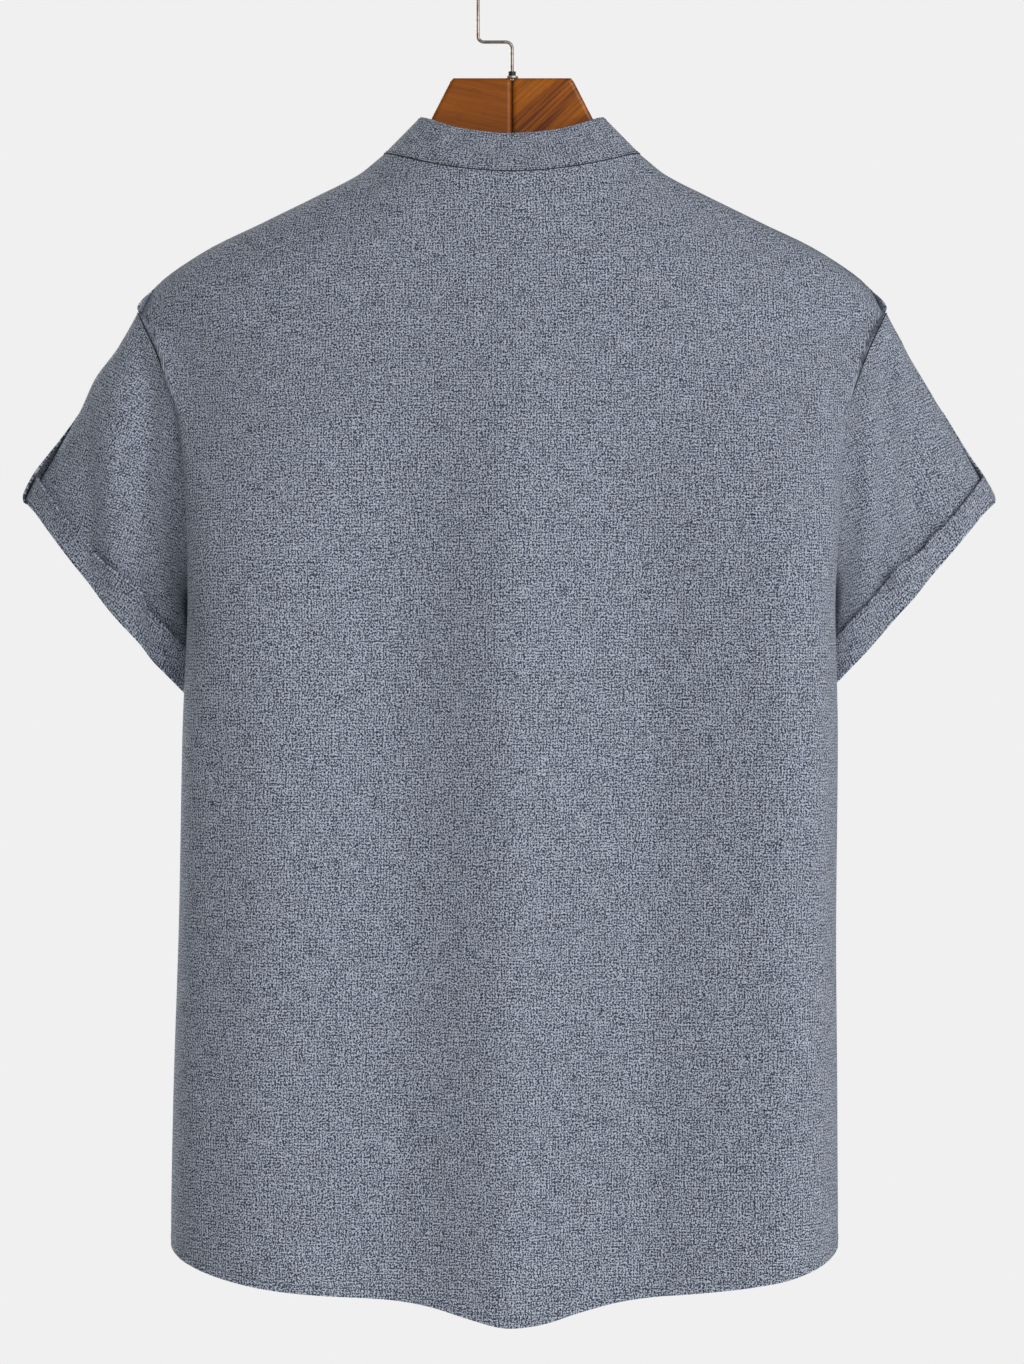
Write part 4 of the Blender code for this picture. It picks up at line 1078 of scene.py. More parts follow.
def wood_grain_group():
    """Straight wood grain in the board's plane, turned by an angle."""
    name = "wood_grain"
    if name in bpy.data.node_groups:
        return bpy.data.node_groups[name]
    group, given, wanted = new_group(
        name,
        {
            "Angle": 0.0,
            "Strength": 1.0,
            "Dark": (0.1, 0.02, 0.003, 1),
            "Light": (0.4, 0.12, 0.02, 1),
        },
    )
    turned = add_node(
        group,
        "ShaderNodeVectorRotate",
        {"Vector": given["Vector"], "Angle": given["Angle"]},
        rotation_type="Y_AXIS",
    )
    split = add_node(group, "ShaderNodeSeparateXYZ", {0: turned.outputs[0]})
    x, z = split.outputs[0], split.outputs[2]
    streak = stretched_noise(group, x, z, 22.0, 700.0, 0.0, 3.0)
    band = stretched_noise(group, x, z, 9.0, 160.0, 3.0, 2.0)
    pore = stretched_noise(group, x, z, 120.0, 2400.0, 9.0, 1.0)
    value = maths(group, "MULTIPLY", streak, 0.5)
    value = maths(group, "MULTIPLY_ADD", band, 0.5, value)
    value = maths(group, "MULTIPLY", maths(group, "SUBTRACT", value, 0.5), given["Strength"])
    value = maths(group, "MULTIPLY_ADD", value, 3.0, 0.5, clamp=True)
    pores = ramped(group, pore, 0.66, 0.78)
    value = maths(group, "MULTIPLY_ADD", pores, -0.35, value, clamp=True)
    group.links.new(mixed(group, value, given["Dark"], given["Light"]), wanted["Color"])
    group.links.new(value, wanted["Height"])
    return group


# ================================================================ materials
def new_material(name, **constants):
    """A material with one Principled shader, and constant values set on its sockets."""
    material = bpy.data.materials.new(name)
    material.use_nodes = True
    shader = material.node_tree.nodes["Principled BSDF"]
    for key, value in constants.items():
        shader.inputs[key.replace("_", " ")].default_value = value
    return material, material.node_tree, shader


def place_group(tree, group, vector, values):
    """A shader group on these coordinates, with constant values on its other sockets."""
    node = tree.nodes.new("ShaderNodeGroup")
    node.node_tree = group
    for key, value in {"Vector": vector, **values}.items():
        feed(tree, node.inputs[key], value)
    return node


def object_place(tree):
    return tree.nodes.new("ShaderNodeTexCoord").outputs["Object"]


def add_bump(tree, shader, height, distance, strength):
    values = {"Strength": strength, "Distance": distance, "Height": height}
    tree.links.new(add_node(tree, "ShaderNodeBump", values).outputs[0], shader.inputs["Normal"])


def add_wear(tree, shader, patch, low, high):
    """Roughness between low and high, in faint patches of this size. Gives the patches."""
    values = {"Patch Size": patch, "Low": low, "High": high}
    wear = place_group(tree, handling_group(), object_place(tree), values)
    tree.links.new(wear.outputs["Value"], shader.inputs["Roughness"])
    return wear.outputs["Height"]


def add_colours(tree, shader, patches, ends, first, second):
    """Colours the shader between two colours, as the patches run between two ends."""
    colour = mixed(tree, ramped(tree, patches, *ends), (*first, 1), (*second, 1))
    tree.links.new(colour, shader.inputs["Base Color"])


def tinted(colour, factor, lift=0.0):
    return tuple(min(1.0, factor * part + lift) for part in colour)


def cloth_material():
    """Blue-grey slub cloth, the same for every piece of the shirt."""
    name = "slub_cloth"
    if name in bpy.data.materials:
        return bpy.data.materials[name]
    cloth = bpy.context.scene.shirt_cloth
    material, tree, shader = new_material(
        name, Sheen_Weight=0.12, Sheen_Roughness=0.5, Specular_IOR_Level=0.25, Roughness=0.88
    )
    values = {
        "Yarns per Metre": cloth.yarns,
        "Weave": cloth.weave,
        "Mottle": cloth.mottle,
        "Slub": cloth.slub,
        "Slub Length": cloth.slub_length,
        "Dark Yarn": (*cloth.dark_yarn, 1),
        "Middle": (*cloth.middle, 1),
        "Light Yarn": (*cloth.light_yarn, 1),
    }
    weave = add_node(tree, "ShaderNodeUVMap", uv_map="cloth").outputs[0]
    node = place_group(tree, slub_weave_group(), weave, values)
    tree.links.new(node.outputs["Color"], shader.inputs["Base Color"])
    add_bump(tree, shader, node.outputs["Height"], 0.00022, 0.8)
    return material


def thread_material():
    """The thread of the stitches and the buttons."""
    name = "sewing_thread"
    if name in bpy.data.materials:
        return bpy.data.materials[name]
    material, tree, shader = new_material(name, Sheen_Weight=0.2)
    colour = bpy.context.scene.shirt_sewing.colour
    patches = add_wear(tree, shader, 0.004, 0.55, 0.75)
    add_colours(tree, shader, patches, (0.3, 0.7), colour, tinted(colour, 1.5))
    return material


def seam_shade_material():
    """Painted shade: a dark cord that lies down in a seam, where the seam's shade falls."""
    material, tree, shader = new_material("seam_thread")
    colour = bpy.context.scene.shirt_sewing.seam_shade_colour
    patches = add_wear(tree, shader, 0.006, 0.75, 0.95)
    add_colours(tree, shader, patches, (0.4, 0.7), colour, tinted(colour, 2.2))
    return material


def button_material():
    """Dark blue resin with lighter clouds in it."""
    name = "button_resin"
    if name in bpy.data.materials:
        return bpy.data.materials[name]
    material, tree, shader = new_material(name, Coat_Weight=0.25)
    colour = bpy.context.scene.shirt_buttons.colour
    patches = add_wear(tree, shader, 0.0035, 0.22, 0.42)
    add_colours(tree, shader, patches, (0.42, 0.62), colour, tinted(colour, 2.6, 0.02))
    return material


def wood_material(name, angle, strength):
    """Stained and varnished wood of one half of the hanger."""
    hanger = bpy.context.scene.shirt_hanger
    material, tree, shader = new_material(
        name, Coat_Weight=0.05, Coat_Roughness=0.18, Specular_IOR_Level=0.25
    )
    values = {
        "Angle": math.radians(angle),
        "Strength": strength,
        "Dark": (*hanger.dark_wood, 1),
        "Light": (*hanger.light_wood, 1),
    }
    grain = place_group(tree, wood_grain_group(), object_place(tree), values)
    tree.links.new(grain.outputs["Color"], shader.inputs["Base Color"])
    add_wear(tree, shader, 0.02, 0.28, 0.46)
    add_bump(tree, shader, grain.outputs["Height"], 0.00006, 0.5)
    return material


def wire_material():
    """Dull nickel wire."""
    material, tree, shader = new_material("nickel_wire", Metallic=1.0)
    colour = bpy.context.scene.shirt_hanger.wire
    patches = add_wear(tree, shader, 0.003, 0.26, 0.5)
    add_colours(tree, shader, patches, (0.35, 0.6), tinted(colour, 0.55), colour)
    add_bump(tree, shader, patches, 0.00003, 0.4)
    return material


def bush_material():
    """Black bush on its bright washer, told apart by height."""
    material, tree, shader = new_material("bush_and_washer")
    add_wear(tree, shader, 0.002, 0.3, 0.45)
    height = add_node(tree, "ShaderNodeSeparateXYZ", {0: object_place(tree)}).outputs[2]
    colour = bpy.context.scene.shirt_hanger.wire
    add_colours(tree, shader, height, BUSH_FOOT, colour, (0.012, 0.011, 0.011))
    metal = maths(tree, "SUBTRACT", 1.0, ramped(tree, height, *BUSH_FOOT))
    tree.links.new(metal, shader.inputs["Metallic"])
    return material


# ================================================================ settings
class ClothSettings(bpy.types.PropertyGroup):
    """Sizes and colours of the cloth."""

    thickness: bpy.props.FloatProperty(
        name="Thickness", description="Wall of one layer of cloth", default=0.0008, unit="LENGTH"
    )
    crease_depth: bpy.props.FloatProperty(
        name="Crease depth",
        description="How deep the small creases are, as a share of their natural depth",
        default=1.0,
        subtype="FACTOR",
    )
    yarns: bpy.props.FloatProperty(
        name="Yarns", description="Visible yarns in each metre of cloth", default=520.0
    )
    weave: bpy.props.FloatProperty(
        name="Weave", description="How far the yarns stand out from their gaps", default=0.45
    )
    mottle: bpy.props.FloatProperty(
        name="Mottle", description="How uneven the yarns are from crossing to crossing",
        default=4.2,
    )
    slub: bpy.props.FloatProperty(
        name="Slub", description="Strength of the long light and dark streaks", default=0.45
    )
    slub_length: bpy.props.FloatProperty(
        name="Slub length", description="How many yarn widths a streak runs", default=7.0
    )
    dark_yarn: bpy.props.FloatVectorProperty(
        name="Dark yarn", description="Colour of the dark yarns", subtype="COLOR",
        default=(0.040, 0.051, 0.078),
    )
    middle: bpy.props.FloatVectorProperty(
        name="Middle", description="Colour of the cloth where yarns mix", subtype="COLOR",
        default=(0.195, 0.222, 0.283),
    )
    light_yarn: bpy.props.FloatVectorProperty(
        name="Light yarn", description="Colour of the light yarns", subtype="COLOR",
        default=(0.60, 0.66, 0.78),
    )


class SewingSettings(bpy.types.PropertyGroup):
    """Sizes and colour of the sewing thread, and of the painted shade in the seams."""

    stitch: bpy.props.FloatProperty(
        name="Stitch", description="Length of one stitch with its gap", default=0.0030,
        unit="LENGTH",
    )
    thread: bpy.props.FloatProperty(
        name="Thread", description="Radius of the thread", default=0.00020, unit="LENGTH"
    )
    colour: bpy.props.FloatVectorProperty(
        name="Thread colour", description="Colour of the thread", subtype="COLOR",
        default=(0.070, 0.086, 0.120),
    )
    # Colour of the painted shade down in the seams
    seam_shade_colour: bpy.props.FloatVectorProperty(
        name="Seam colour", description="Colour down in the seams", subtype="COLOR",
        default=(0.018, 0.022, 0.032),
    )
    # Radius of the dark cord of painted shade in a seam
    seam: bpy.props.FloatProperty(
        name="Seam", description="Radius of the dark line in a seam", default=0.00042,
        unit="LENGTH",
    )


class ButtonSettings(bpy.types.PropertyGroup):
    """Sizes and colour of the buttons."""

    hole: bpy.props.FloatProperty(
        name="Hole", description="Radius of each of the four holes", default=0.0008,
        unit="LENGTH",
    )
    dish: bpy.props.FloatProperty(
        name="Dish", description="Depth of the button's dished middle", default=0.0005,
        unit="LENGTH",
    )
    colour: bpy.props.FloatVectorProperty(
        name="Button colour", description="Colour of the buttons", subtype="COLOR",
        default=(0.035, 0.045, 0.065),
    )


class HangerSettings(bpy.types.PropertyGroup):
    """Colours of the hanger and its hook."""

    dark_wood: bpy.props.FloatVectorProperty(
        name="Dark wood", description="Colour of the dark grain", subtype="COLOR",
        default=(0.150, 0.030, 0.0010),
    )
    light_wood: bpy.props.FloatVectorProperty(
        name="Light wood", description="Colour of the light grain", subtype="COLOR",
        default=(0.48, 0.135, 0.0030),
    )
    wire: bpy.props.FloatVectorProperty(
        name="Wire", description="Colour of the hook's wire", subtype="COLOR",
        default=(0.46, 0.40, 0.36),
    )


class StageSettings(bpy.types.PropertyGroup):
    """The studio round the shirt."""

    backdrop: bpy.props.FloatProperty(
        name="Backdrop", description="Brightness of the pale studio", default=0.87
    )
    ambient: bpy.props.FloatProperty(
        name="Ambient", description="Light that comes from all round", default=0.13
    )
    key: bpy.props.FloatProperty(
        name="Key light", description="Power of the main light", default=330.0, unit="POWER"
    )
    fill: bpy.props.FloatProperty(
        name="Fill light", description="Power of the light before the shirt", default=42.0,
        unit="POWER",
    )
    edge: bpy.props.FloatProperty(
        name="Edge light", description="Power of the light at the far side", default=30.0,
        unit="POWER",
    )
    softbox: bpy.props.FloatProperty(
        name="Softbox", description="Side of each square light", default=4.2, unit="LENGTH"
    )
    distance: bpy.props.FloatProperty(
        name="Light distance", description="From each light to the shirt", default=8.0,
        unit="LENGTH",
    )
    floor: bpy.props.FloatProperty(
        name="Floor", description="Height of the floor", default=-1.60, unit="LENGTH"
    )


# ================================================================ operators
class SHIRT_OT_make_body(bpy.types.Operator):
    """Makes the back and both fronts as thin cloth"""

    bl_idname = "shirt.make_body"
    bl_label = "Back and fronts"

    def execute(self, context):
        for name in ("back", "front_left", "front_right"):
            points, normals = fine_sheet("torso", *coarse_grids()[name])
            faces = creased_faces(name, points, normals, edge_fade(points.shape, 3, 3))
            rests_on = ["hanger_left", "hanger_right"]
            add_sheet(name, *faces, normals, panel_weave(points), rests_on)
        return {"FINISHED"}


class SHIRT_OT_make_sleeves(bpy.types.Operator):
    """Makes both short sleeves as thin cloth"""

    bl_idname = "shirt.make_sleeves"
    bl_label = "Sleeves"

    def execute(self, context):
        for which, side in SIDES:
            name = "sleeve_" + which
            points, normals = fine_sheet("sleeve", *coarse_grids()[name], ring=True)
            fade = edge_fade(points.shape, 5, 0)
            lower = len(fade) - len(fade) // 2
            fade[-lower:] *= np.linspace(1, 0, lower)[:, None] ** 0.5
            faces = creased_faces(name, points, normals, fade)
            weave = sleeve_weave(points, side)
            add_sheet(name, *faces, normals, weave, ["back_cloth"], ring=True)
        return {"FINISHED"}


class SHIRT_OT_make_collar(bpy.types.Operator):
    """Makes the stand collar band"""

    bl_idname = "shirt.make_collar"
    bl_label = "Collar"

    def execute(self, context):
        end = math.asin(COLLAR_FRONT_X / NECK_HALF_WIDTH) * 2 / math.pi
        front = [end, end + 0.02, end + 0.05, *np.linspace(0.12, 0.92, 9)]
        back = list(np.linspace(1.0, 0.0, 14))
        path = [("front", share, 1) for share in front] + [("back", share, 1) for share in back]
        path += [("back", share, -1) for share in reversed(back[:-1])]
        path += [("front", share, -1) for share in reversed(front)]
        columns, seam_out = zip(*[collar_column(*place) for place in path])
        points = np.array(columns).transpose(1, 0, 2)
        normals = grid_normals(points, False, -1)
        normals[0] = seam_out
        points, normals = fine_sheet("collar", points, normals)
        faces = even_faces(points, normals, COLLAR_WALL)
        add_sheet("collar", *faces, normals, band_weave(points), ["back_cloth"], rim=0.45)
        return {"FINISHED"}


class SHIRT_OT_make_placket(bpy.types.Operator):
    """Makes the strip that carries the buttons, on the left front"""

    bl_idname = "shirt.make_placket"
    bl_label = "Placket"

    def execute(self, context):
        points, normals = coarse_grids()["front_left"]
        middle, out = points[:, :3].copy(), normals[:, :3]
        for row, inward in ((0, 1), (-1, -2)):
            step = middle[inward] - middle[row]
            middle[row] += PLACKET_END * step / np.linalg.norm(step, axis=1, keepdims=True)
        middle += out * (CLOTH + LAYER_GAP)
        middle, out = fine_sheet("placket", middle, out)
        faces = even_faces(middle, out, CLOTH)
        rests_on = ["front_left_cloth"]
        add_sheet("placket", *faces, out, panel_weave(middle), rests_on, rim=0.45)
        return {"FINISHED"}


class SHIRT_OT_make_cuffs(bpy.types.Operator):
    """Makes both turned-up cuff bands"""

    bl_idname = "shirt.make_cuffs"
    bl_label = "Cuffs"

    def execute(self, context):
        for which, side in SIDES:
            middle, normals = [], []
            for step in range(CUFF_ROWS + 1):
                up = 1 - step / CUFF_ROWS
                ring, ring_normals = [], []
                for turn in arm_turns():
                    length = sleeve_length(which, turn)
                    down = 1 + (CUFF_OVERHANG * (1 - up) - cuff_height(turn) * up) / length
                    normal = sleeve_normal(which, turn, down)
                    outer = ((1 + math.cos(turn)) / 2) ** 0.5
                    stand = (CUFF_STAND + CUFF_FLARE * outer * max(math.sin(turn), 0)) * up**1.5
                    out = (CLOTH + CUFF_WALL) / 2 + CUFF_GAP + stand
                    ring.append(sleeve_point(which, turn, down) + normal * out)
                    ring_normals.append(normal)
                middle.append(ring)
                normals.append(ring_normals)
            middle, normals = np.array(middle), np.array(normals)
            if side < 0:
                middle, normals = mirrored(middle), mirrored(normals)
            points, normals = fine_sheet("cuff", middle, normals, ring=True)
            faces = even_faces(points, normals, CUFF_WALL)
            weave = band_weave(points, ring=True)
            rests_on = ["sleeve_" + which + "_cloth"]
            add_sheet("cuff_" + which, *faces, normals, weave, rests_on, ring=True, rim=0.5)
        return {"FINISHED"}


class SHIRT_OT_make_tabs(bpy.types.Operator):
    """Makes both straps that hold the cuffs up"""

    bl_idname = "shirt.make_tabs"
    bl_label = "Roll tabs"

    def execute(self, context):
        for which, side in SIDES:
            column = TAB_PATH["columns"].index(which)
            middle = []
            for step, place in enumerate(TAB_PATH["rows"]):
                down, out = place[0], place[column]
                row = []
                for across in np.linspace(-1, 1, TAB_COLUMNS + 1):
                    y = tab_y(which, down, across)
                    own_down = down + (TAB_POINT * across**2 if step == 0 else 0)
                    turn = turn_at_depth(which, own_down, y)
                    normal = sleeve_normal(which, turn, own_down)
                    row.append(sleeve_point(which, turn, own_down) + normal * out)
                middle.append(row)
            middle = np.array(middle)
            if side < 0:
                middle = mirrored(middle)
            normals = grid_normals(middle, False, -side)
            points, normals = fine_sheet("tab", middle, normals)
            faces = even_faces(points, normals, TAB_WALL)
            rests_on = ["cuff_" + which + "_cloth"]
            add_sheet("tab_" + which, *faces, normals, band_weave(points), rests_on, rim=0.45)
        return {"FINISHED"}


def only_selected(obj):
    bpy.ops.object.select_all(action="DESELECT")
    obj.select_set(True)
    bpy.context.view_layer.objects.active = obj


def button_mesh(buttons):
    """One four-hole button with a raised rim, flat on the ground plane."""
    bpy.ops.mesh.primitive_cylinder_add(
        vertices=40, radius=BUTTON_RADIUS, depth=BUTTON_THICKNESS
    )
    button = bpy.context.object
    only_selected(button)
    bpy.ops.object.mode_set(mode="EDIT")
    mesh = bmesh.from_edit_mesh(button.data)
    for face in mesh.faces:
        face.select = face.normal.z > 0.9
    bmesh.update_edit_mesh(button.data)
    bpy.ops.mesh.inset(thickness=BUTTON_RIM)
    bpy.ops.mesh.inset(thickness=BUTTON_SLOPE)
    bpy.ops.transform.translate(value=(0, 0, -buttons.dish))
    bpy.ops.object.mode_set(mode="OBJECT")
    bevel = button.modifiers.new("rim", "BEVEL")
    bevel.width = BUTTON_ROUNDING
    bevel.segments = 3
    bevel.limit_method = "ANGLE"
    bevel.angle_limit = math.radians(50)
    bpy.ops.object.modifier_apply(modifier="rim")
    for number in range(4):
        angle = math.pi / 4 + math.pi / 2 * number
        place = (HOLE_CIRCLE * math.cos(angle), HOLE_CIRCLE * math.sin(angle), 0)
        bpy.ops.mesh.primitive_cylinder_add(
            vertices=12, radius=buttons.hole, depth=0.01, location=place
        )
        cutter = bpy.context.object
        only_selected(button)
        hole = button.modifiers.new("hole", "BOOLEAN")
        hole.object = cutter
        hole.solver = "EXACT"
        bpy.ops.object.modifier_apply(modifier="hole")
        bpy.data.objects.remove(cutter)
    bpy.ops.object.shade_smooth_by_angle(angle=math.radians(35))
    return button


def button_thread():
    """Two bars of thread through the holes of a button."""
    aside, above = BAR_PLACE
    bars = []
    for side in (-1, 1):
        bpy.ops.mesh.primitive_cylinder_add(
            vertices=8, radius=BAR_RADIUS, depth=BAR_LENGTH, location=(aside * side, 0, above),
            rotation=(math.pi / 2, 0, 0),
        )
        bar = bpy.context.object
        only_selected(bar)
        bpy.ops.object.transform_apply(location=True, rotation=True, scale=True)
        bars.append(bar)
    only_selected(bars[0])
    bars[1].select_set(True)
    bpy.ops.object.join()
    return bars[0]


def node_plane(name):
    """Centre of a flat CAD node and the way it faces, away from the shirt."""
    points = np.array([vertex.co for vertex in NODES[name].data.vertices])
    centre = (points.min(axis=0) + points.max(axis=0)) / 2
    spread = points - points.mean(axis=0)
    out = Vector(np.linalg.svd(spread, full_matrices=False)[2][2])
    away = Vector((centre[0], -1.0, 0)) if "tab" not in name else Vector((centre[0], 0, 0.1))
    return Vector(centre), out if out.dot(away) > 0 else -out


class SHIRT_OT_make_buttons(bpy.types.Operator):
    """Makes the front buttons and the tab buttons, sewn on with thread"""

    bl_idname = "shirt.make_buttons"
    bl_label = "Buttons"

    def execute(self, context):
        pattern = button_mesh(context.scene.shirt_buttons)
        thread = button_thread()
        names = [f"button_{number}" for number in range(1, 7)]
        names += ["tab_button_left", "tab_button_right"]
        for name in names:
            centre, out = node_plane(name)
            turn = out.to_track_quat("Z", "X").to_matrix().to_4x4()
            place = Matrix.Translation(centre) @ turn
            for source, label, material in (
                (pattern, "resin", button_material()),
                (thread, "thread", thread_material()),
            ):
                mesh = source.data.copy()
                mesh.transform(place)
                mesh.materials.clear()
                mesh.materials.append(material)
                obj = bpy.data.objects.new(f"{name}_{label}", mesh)
                context.scene.collection.objects.link(obj)
                if label == "resin":
                    finish_piece(obj, "button_plastic", name)
                else:
                    finish_piece(obj, "cloth")
        bpy.data.objects.remove(pattern)
        bpy.data.objects.remove(thread)
        return {"FINISHED"}


def line_inside(grid, normals, distance, edge):
    """The line at this distance inside an edge of a sheet, with its normals."""
    if edge in ("left", "right"):
        grid, normals = grid.transpose(1, 0, 2), normals.transpose(1, 0, 2)
    if edge in ("top", "right"):
        grid, normals = grid[::-1], normals[::-1]
    steps = np.linalg.norm(np.diff(grid, axis=0), axis=2)
    lengths = np.concatenate([np.zeros((1, grid.shape[1])), np.cumsum(steps, axis=0)])
    line, out = [], []
    for k in range(grid.shape[1]):
        place = np.interp(distance, lengths[:, k], np.arange(len(grid)))
        low = min(int(place), len(grid) - 2)
        share = place - low
        line.append(grid[low, k] * (1 - share) + grid[low + 1, k] * share)
        out.append(normals[low, k] * (1 - share) + normals[low + 1, k] * share)
    return np.array(line), np.array(out)


def stitch_shape(length, radius):
    """Points and faces of one stitch along X, a little arched, with its ends sunk."""
    rings = []
    for share, lift, size in ((0, -0.6, 0.6), (0.2, 0.5, 1.0), (0.8, 0.5, 1.0), (1, -0.6, 0.6)):
        x = (share - 0.5) * length
        for angle in (0, 90, 180, 270):
            y = radius * size * math.cos(math.radians(angle))
            z = radius * (lift + size * math.sin(math.radians(angle)))
            rings.append((x, y, z))
    faces = [(3, 2, 1, 0), (12, 13, 14, 15)]
    for ring in range(3):
        for k in range(4):
            a, b = 4 * ring + k, 4 * ring + (k + 1) % 4
            faces.append((a, b, b + 4, a + 4))
    return np.array(rings), np.array(faces)


def stitches_along(lines, sewing):
    """One mesh of stitches on several lines, each with its normals."""
    pitch = sewing.stitch
    shape, faces = stitch_shape(pitch * STITCH_SHARE, sewing.thread)
    all_points, all_faces = [], []
    for line, out in lines:
        run = np.concatenate([[0], np.cumsum(np.linalg.norm(np.diff(line, axis=0), axis=1))])
        for place in np.arange(pitch, run[-1] - pitch / 2, pitch):
            point, ahead, up = (
                np.array([np.interp(at, run, values[:, k]) for k in range(3)])
                for at, values in ((place, line), (place + pitch / 2, line), (place, out))
            )
            along = ahead - point
            length = np.linalg.norm(along)
            if length < 1e-7:
                continue
            along /= length
            up = up - along * (up @ along)
            up /= np.linalg.norm(up)
            basis = np.stack([along, np.cross(up, along), up])
            all_faces.append(faces + len(all_points) * len(shape))
            all_points.append(shape @ basis + point)
    return np.concatenate(all_points), np.concatenate(all_faces)


def cord_along(line, out, radius, ring=False):
    """A thin six-sided cord along a line, with its normals."""
    if ring:
        line, out = np.concatenate([line, line[:1]]), np.concatenate([out, out[:1]])
    along = np.gradient(line, axis=0)
    along /= np.linalg.norm(along, axis=1, keepdims=True)
    side = np.cross(out, along)
    side /= np.linalg.norm(side, axis=1, keepdims=True)
    up = np.cross(along, side)
    angles = [math.tau * k / 6 for k in range(6)]
    rings = [line + radius * (math.cos(a) * side + math.sin(a) * up) for a in angles]
    points = np.stack(rings, axis=1)
    index = np.arange(len(line) * 6).reshape(-1, 6)
    turned = np.roll(index, -1, axis=1)
    faces = np.stack([index[:-1], turned[:-1], turned[1:], index[1:]], axis=-1)
    return points.reshape(-1, 3), faces.reshape(-1, 4)


class SHIRT_OT_make_sewing(bpy.types.Operator):
    """Makes the rows of stitches and the dark cords of painted shade in the seams"""

    bl_idname = "shirt.make_sewing"
    bl_label = "Sewing"

    def execute(self, context):
        sewing = context.scene.shirt_sewing
        for name, (pieces, inset, edges) in STITCH_ROWS.items():
            lines = [
                line_inside(*SEWN[piece], inset, edge) for piece in pieces for edge in edges
            ]
            points, faces = stitches_along(lines, sewing)
            obj = add_mesh(name + "_stitches", points, faces, thread_material(), smooth=80)
            finish_piece(obj, "cloth")
        # The shade in the seams is painted: a dark cord along the lower edge of the collar and of
        # each sleeve.
        dark = seam_shade_material()
        for name, piece in SEAM_SHADE_LINES.items():
            line, out = line_inside(*SEWN[piece], 0.0, "bottom")
            points, faces = cord_along(line, out, sewing.seam, piece.startswith("sleeve"))
            finish_piece(add_mesh(name, points, faces, dark, smooth=80), "cloth")
        return {"FINISHED"}


def add_wire(material):
    """The bent wire of the hook, round and smooth, with a blunt rounded tip."""
    curve = bpy.data.curves.new("hook_wire", "CURVE")
    curve.dimensions = "3D"
    bend = HOOK_BEND
    path = [(0, WIRE_BOTTOM), (0, HOOK_JOG_Z - bend)]
    for angle in np.linspace(0, math.pi / 2, 9)[1:]:
        path.append((bend * (1 - math.cos(angle)), HOOK_JOG_Z - bend * (1 - math.sin(angle))))
    for angle in np.linspace(0, math.pi / 2, 9):
        x = HOOK_RADIUS - bend * (1 - math.sin(angle))
        path.append((x, HOOK_JOG_Z + bend * (1 - math.cos(angle))))
    centre_z = WIRE_RADIUS - HOOK_RADIUS
    for angle in np.linspace(0, math.pi, 33):
        path.append((HOOK_RADIUS * math.cos(angle), centre_z + HOOK_RADIUS * math.sin(angle)))
    path.append((-HOOK_RADIUS, centre_z - HOOK_TIP_DROP))
    spline = curve.splines.new("POLY")
    spline.points.add(len(path) - 1)
    for point, (x, z) in zip(spline.points, path):
        point.co = (x, 0, z, 1)
    curve.bevel_depth = WIRE_RADIUS
    curve.bevel_resolution = 4
    curve.use_fill_caps = True
    tube = bpy.data.objects.new("hook_tube", curve)
    bpy.context.scene.collection.objects.link(tube)
    graph = bpy.context.evaluated_depsgraph_get()
    mesh = bpy.data.meshes.new_from_object(tube.evaluated_get(graph))
    bpy.data.objects.remove(tube)
    wire = bmesh.new()
    wire.from_mesh(mesh)
    bmesh.ops.remove_doubles(wire, verts=wire.verts, dist=0.00001)
    rims = [edge for edge in wire.edges if max(len(face.verts) for face in edge.link_faces) > 4]
    bmesh.ops.bevel(
        wire, geom=rims, offset=WIRE_ROUNDING, segments=3, profile=0.5, affect="EDGES"
    )
    bmesh.ops.recalc_face_normals(wire, faces=wire.faces)
    wire.to_mesh(mesh)
    wire.free()
    mesh.materials.clear()
    mesh.materials.append(material)
    mesh.shade_smooth()
    mesh.set_sharp_from_angle(angle=math.radians(50))
    obj = bpy.data.objects.new("hook_wire", mesh)
    bpy.context.scene.collection.objects.link(obj)
    return obj


class SHIRT_OT_make_hanger(bpy.types.Operator):
    """Gives the hanger its wood and its bush its metal, and makes its wire and glue line"""

    bl_idname = "shirt.make_hanger"
    bl_label = "Hanger and hook"

    def execute(self, context):
        finishes = {name: wood_material(*grain) for name, grain in GRAIN.items()}
        finishes["hook_ferrule"] = bush_material()
        for name, material in finishes.items():
            node = NODES[name]
            node.data.materials.clear()
            node.data.materials.append(material)
        finish_piece(add_wire(wire_material()), "wire", "hook")
        bpy.ops.object.select_all(action="DESELECT")
        bpy.ops.mesh.primitive_cube_add(size=1, location=(0, 0, (JOINT_TOP + JOINT_BOTTOM) / 2))
        strip = context.object
        strip.name = "hanger_joint"
        strip.scale = (JOINT_WIDTH, JOINT_DEPTH, JOINT_TOP - JOINT_BOTTOM)
        bpy.ops.object.transform_apply(location=True, rotation=True, scale=True)
        glue = new_material("joint_glue", Roughness=0.8, Base_Color=(0.012, 0.005, 0.002, 1))[0]
        strip.data.materials.append(glue)
        finish_piece(strip, "wood")
        return {"FINISHED"}


def add_light(name, azimuth, power, stage):
    """A soft square light that faces the shirt. Azimuth 0 is behind it, 90 on its left."""
    turn, lift = math.radians(azimuth), math.radians(LIGHT_ELEVATION)
    level = math.cos(lift)
    way = Vector((math.sin(turn) * level, math.cos(turn) * level, math.sin(lift)))
    lamp = bpy.data.lights.new(name, "AREA")
    lamp.size = stage.softbox
    lamp.energy = power
    obj = bpy.data.objects.new(name, lamp)
    obj.location = SHIRT_MIDDLE + way * stage.distance
    obj.rotation_euler = way.to_track_quat("Z", "Y").to_euler()
    bpy.context.scene.collection.objects.link(obj)


def camera_rays(tree):
    return tree.nodes.new("ShaderNodeLightPath").outputs["Is Camera Ray"]


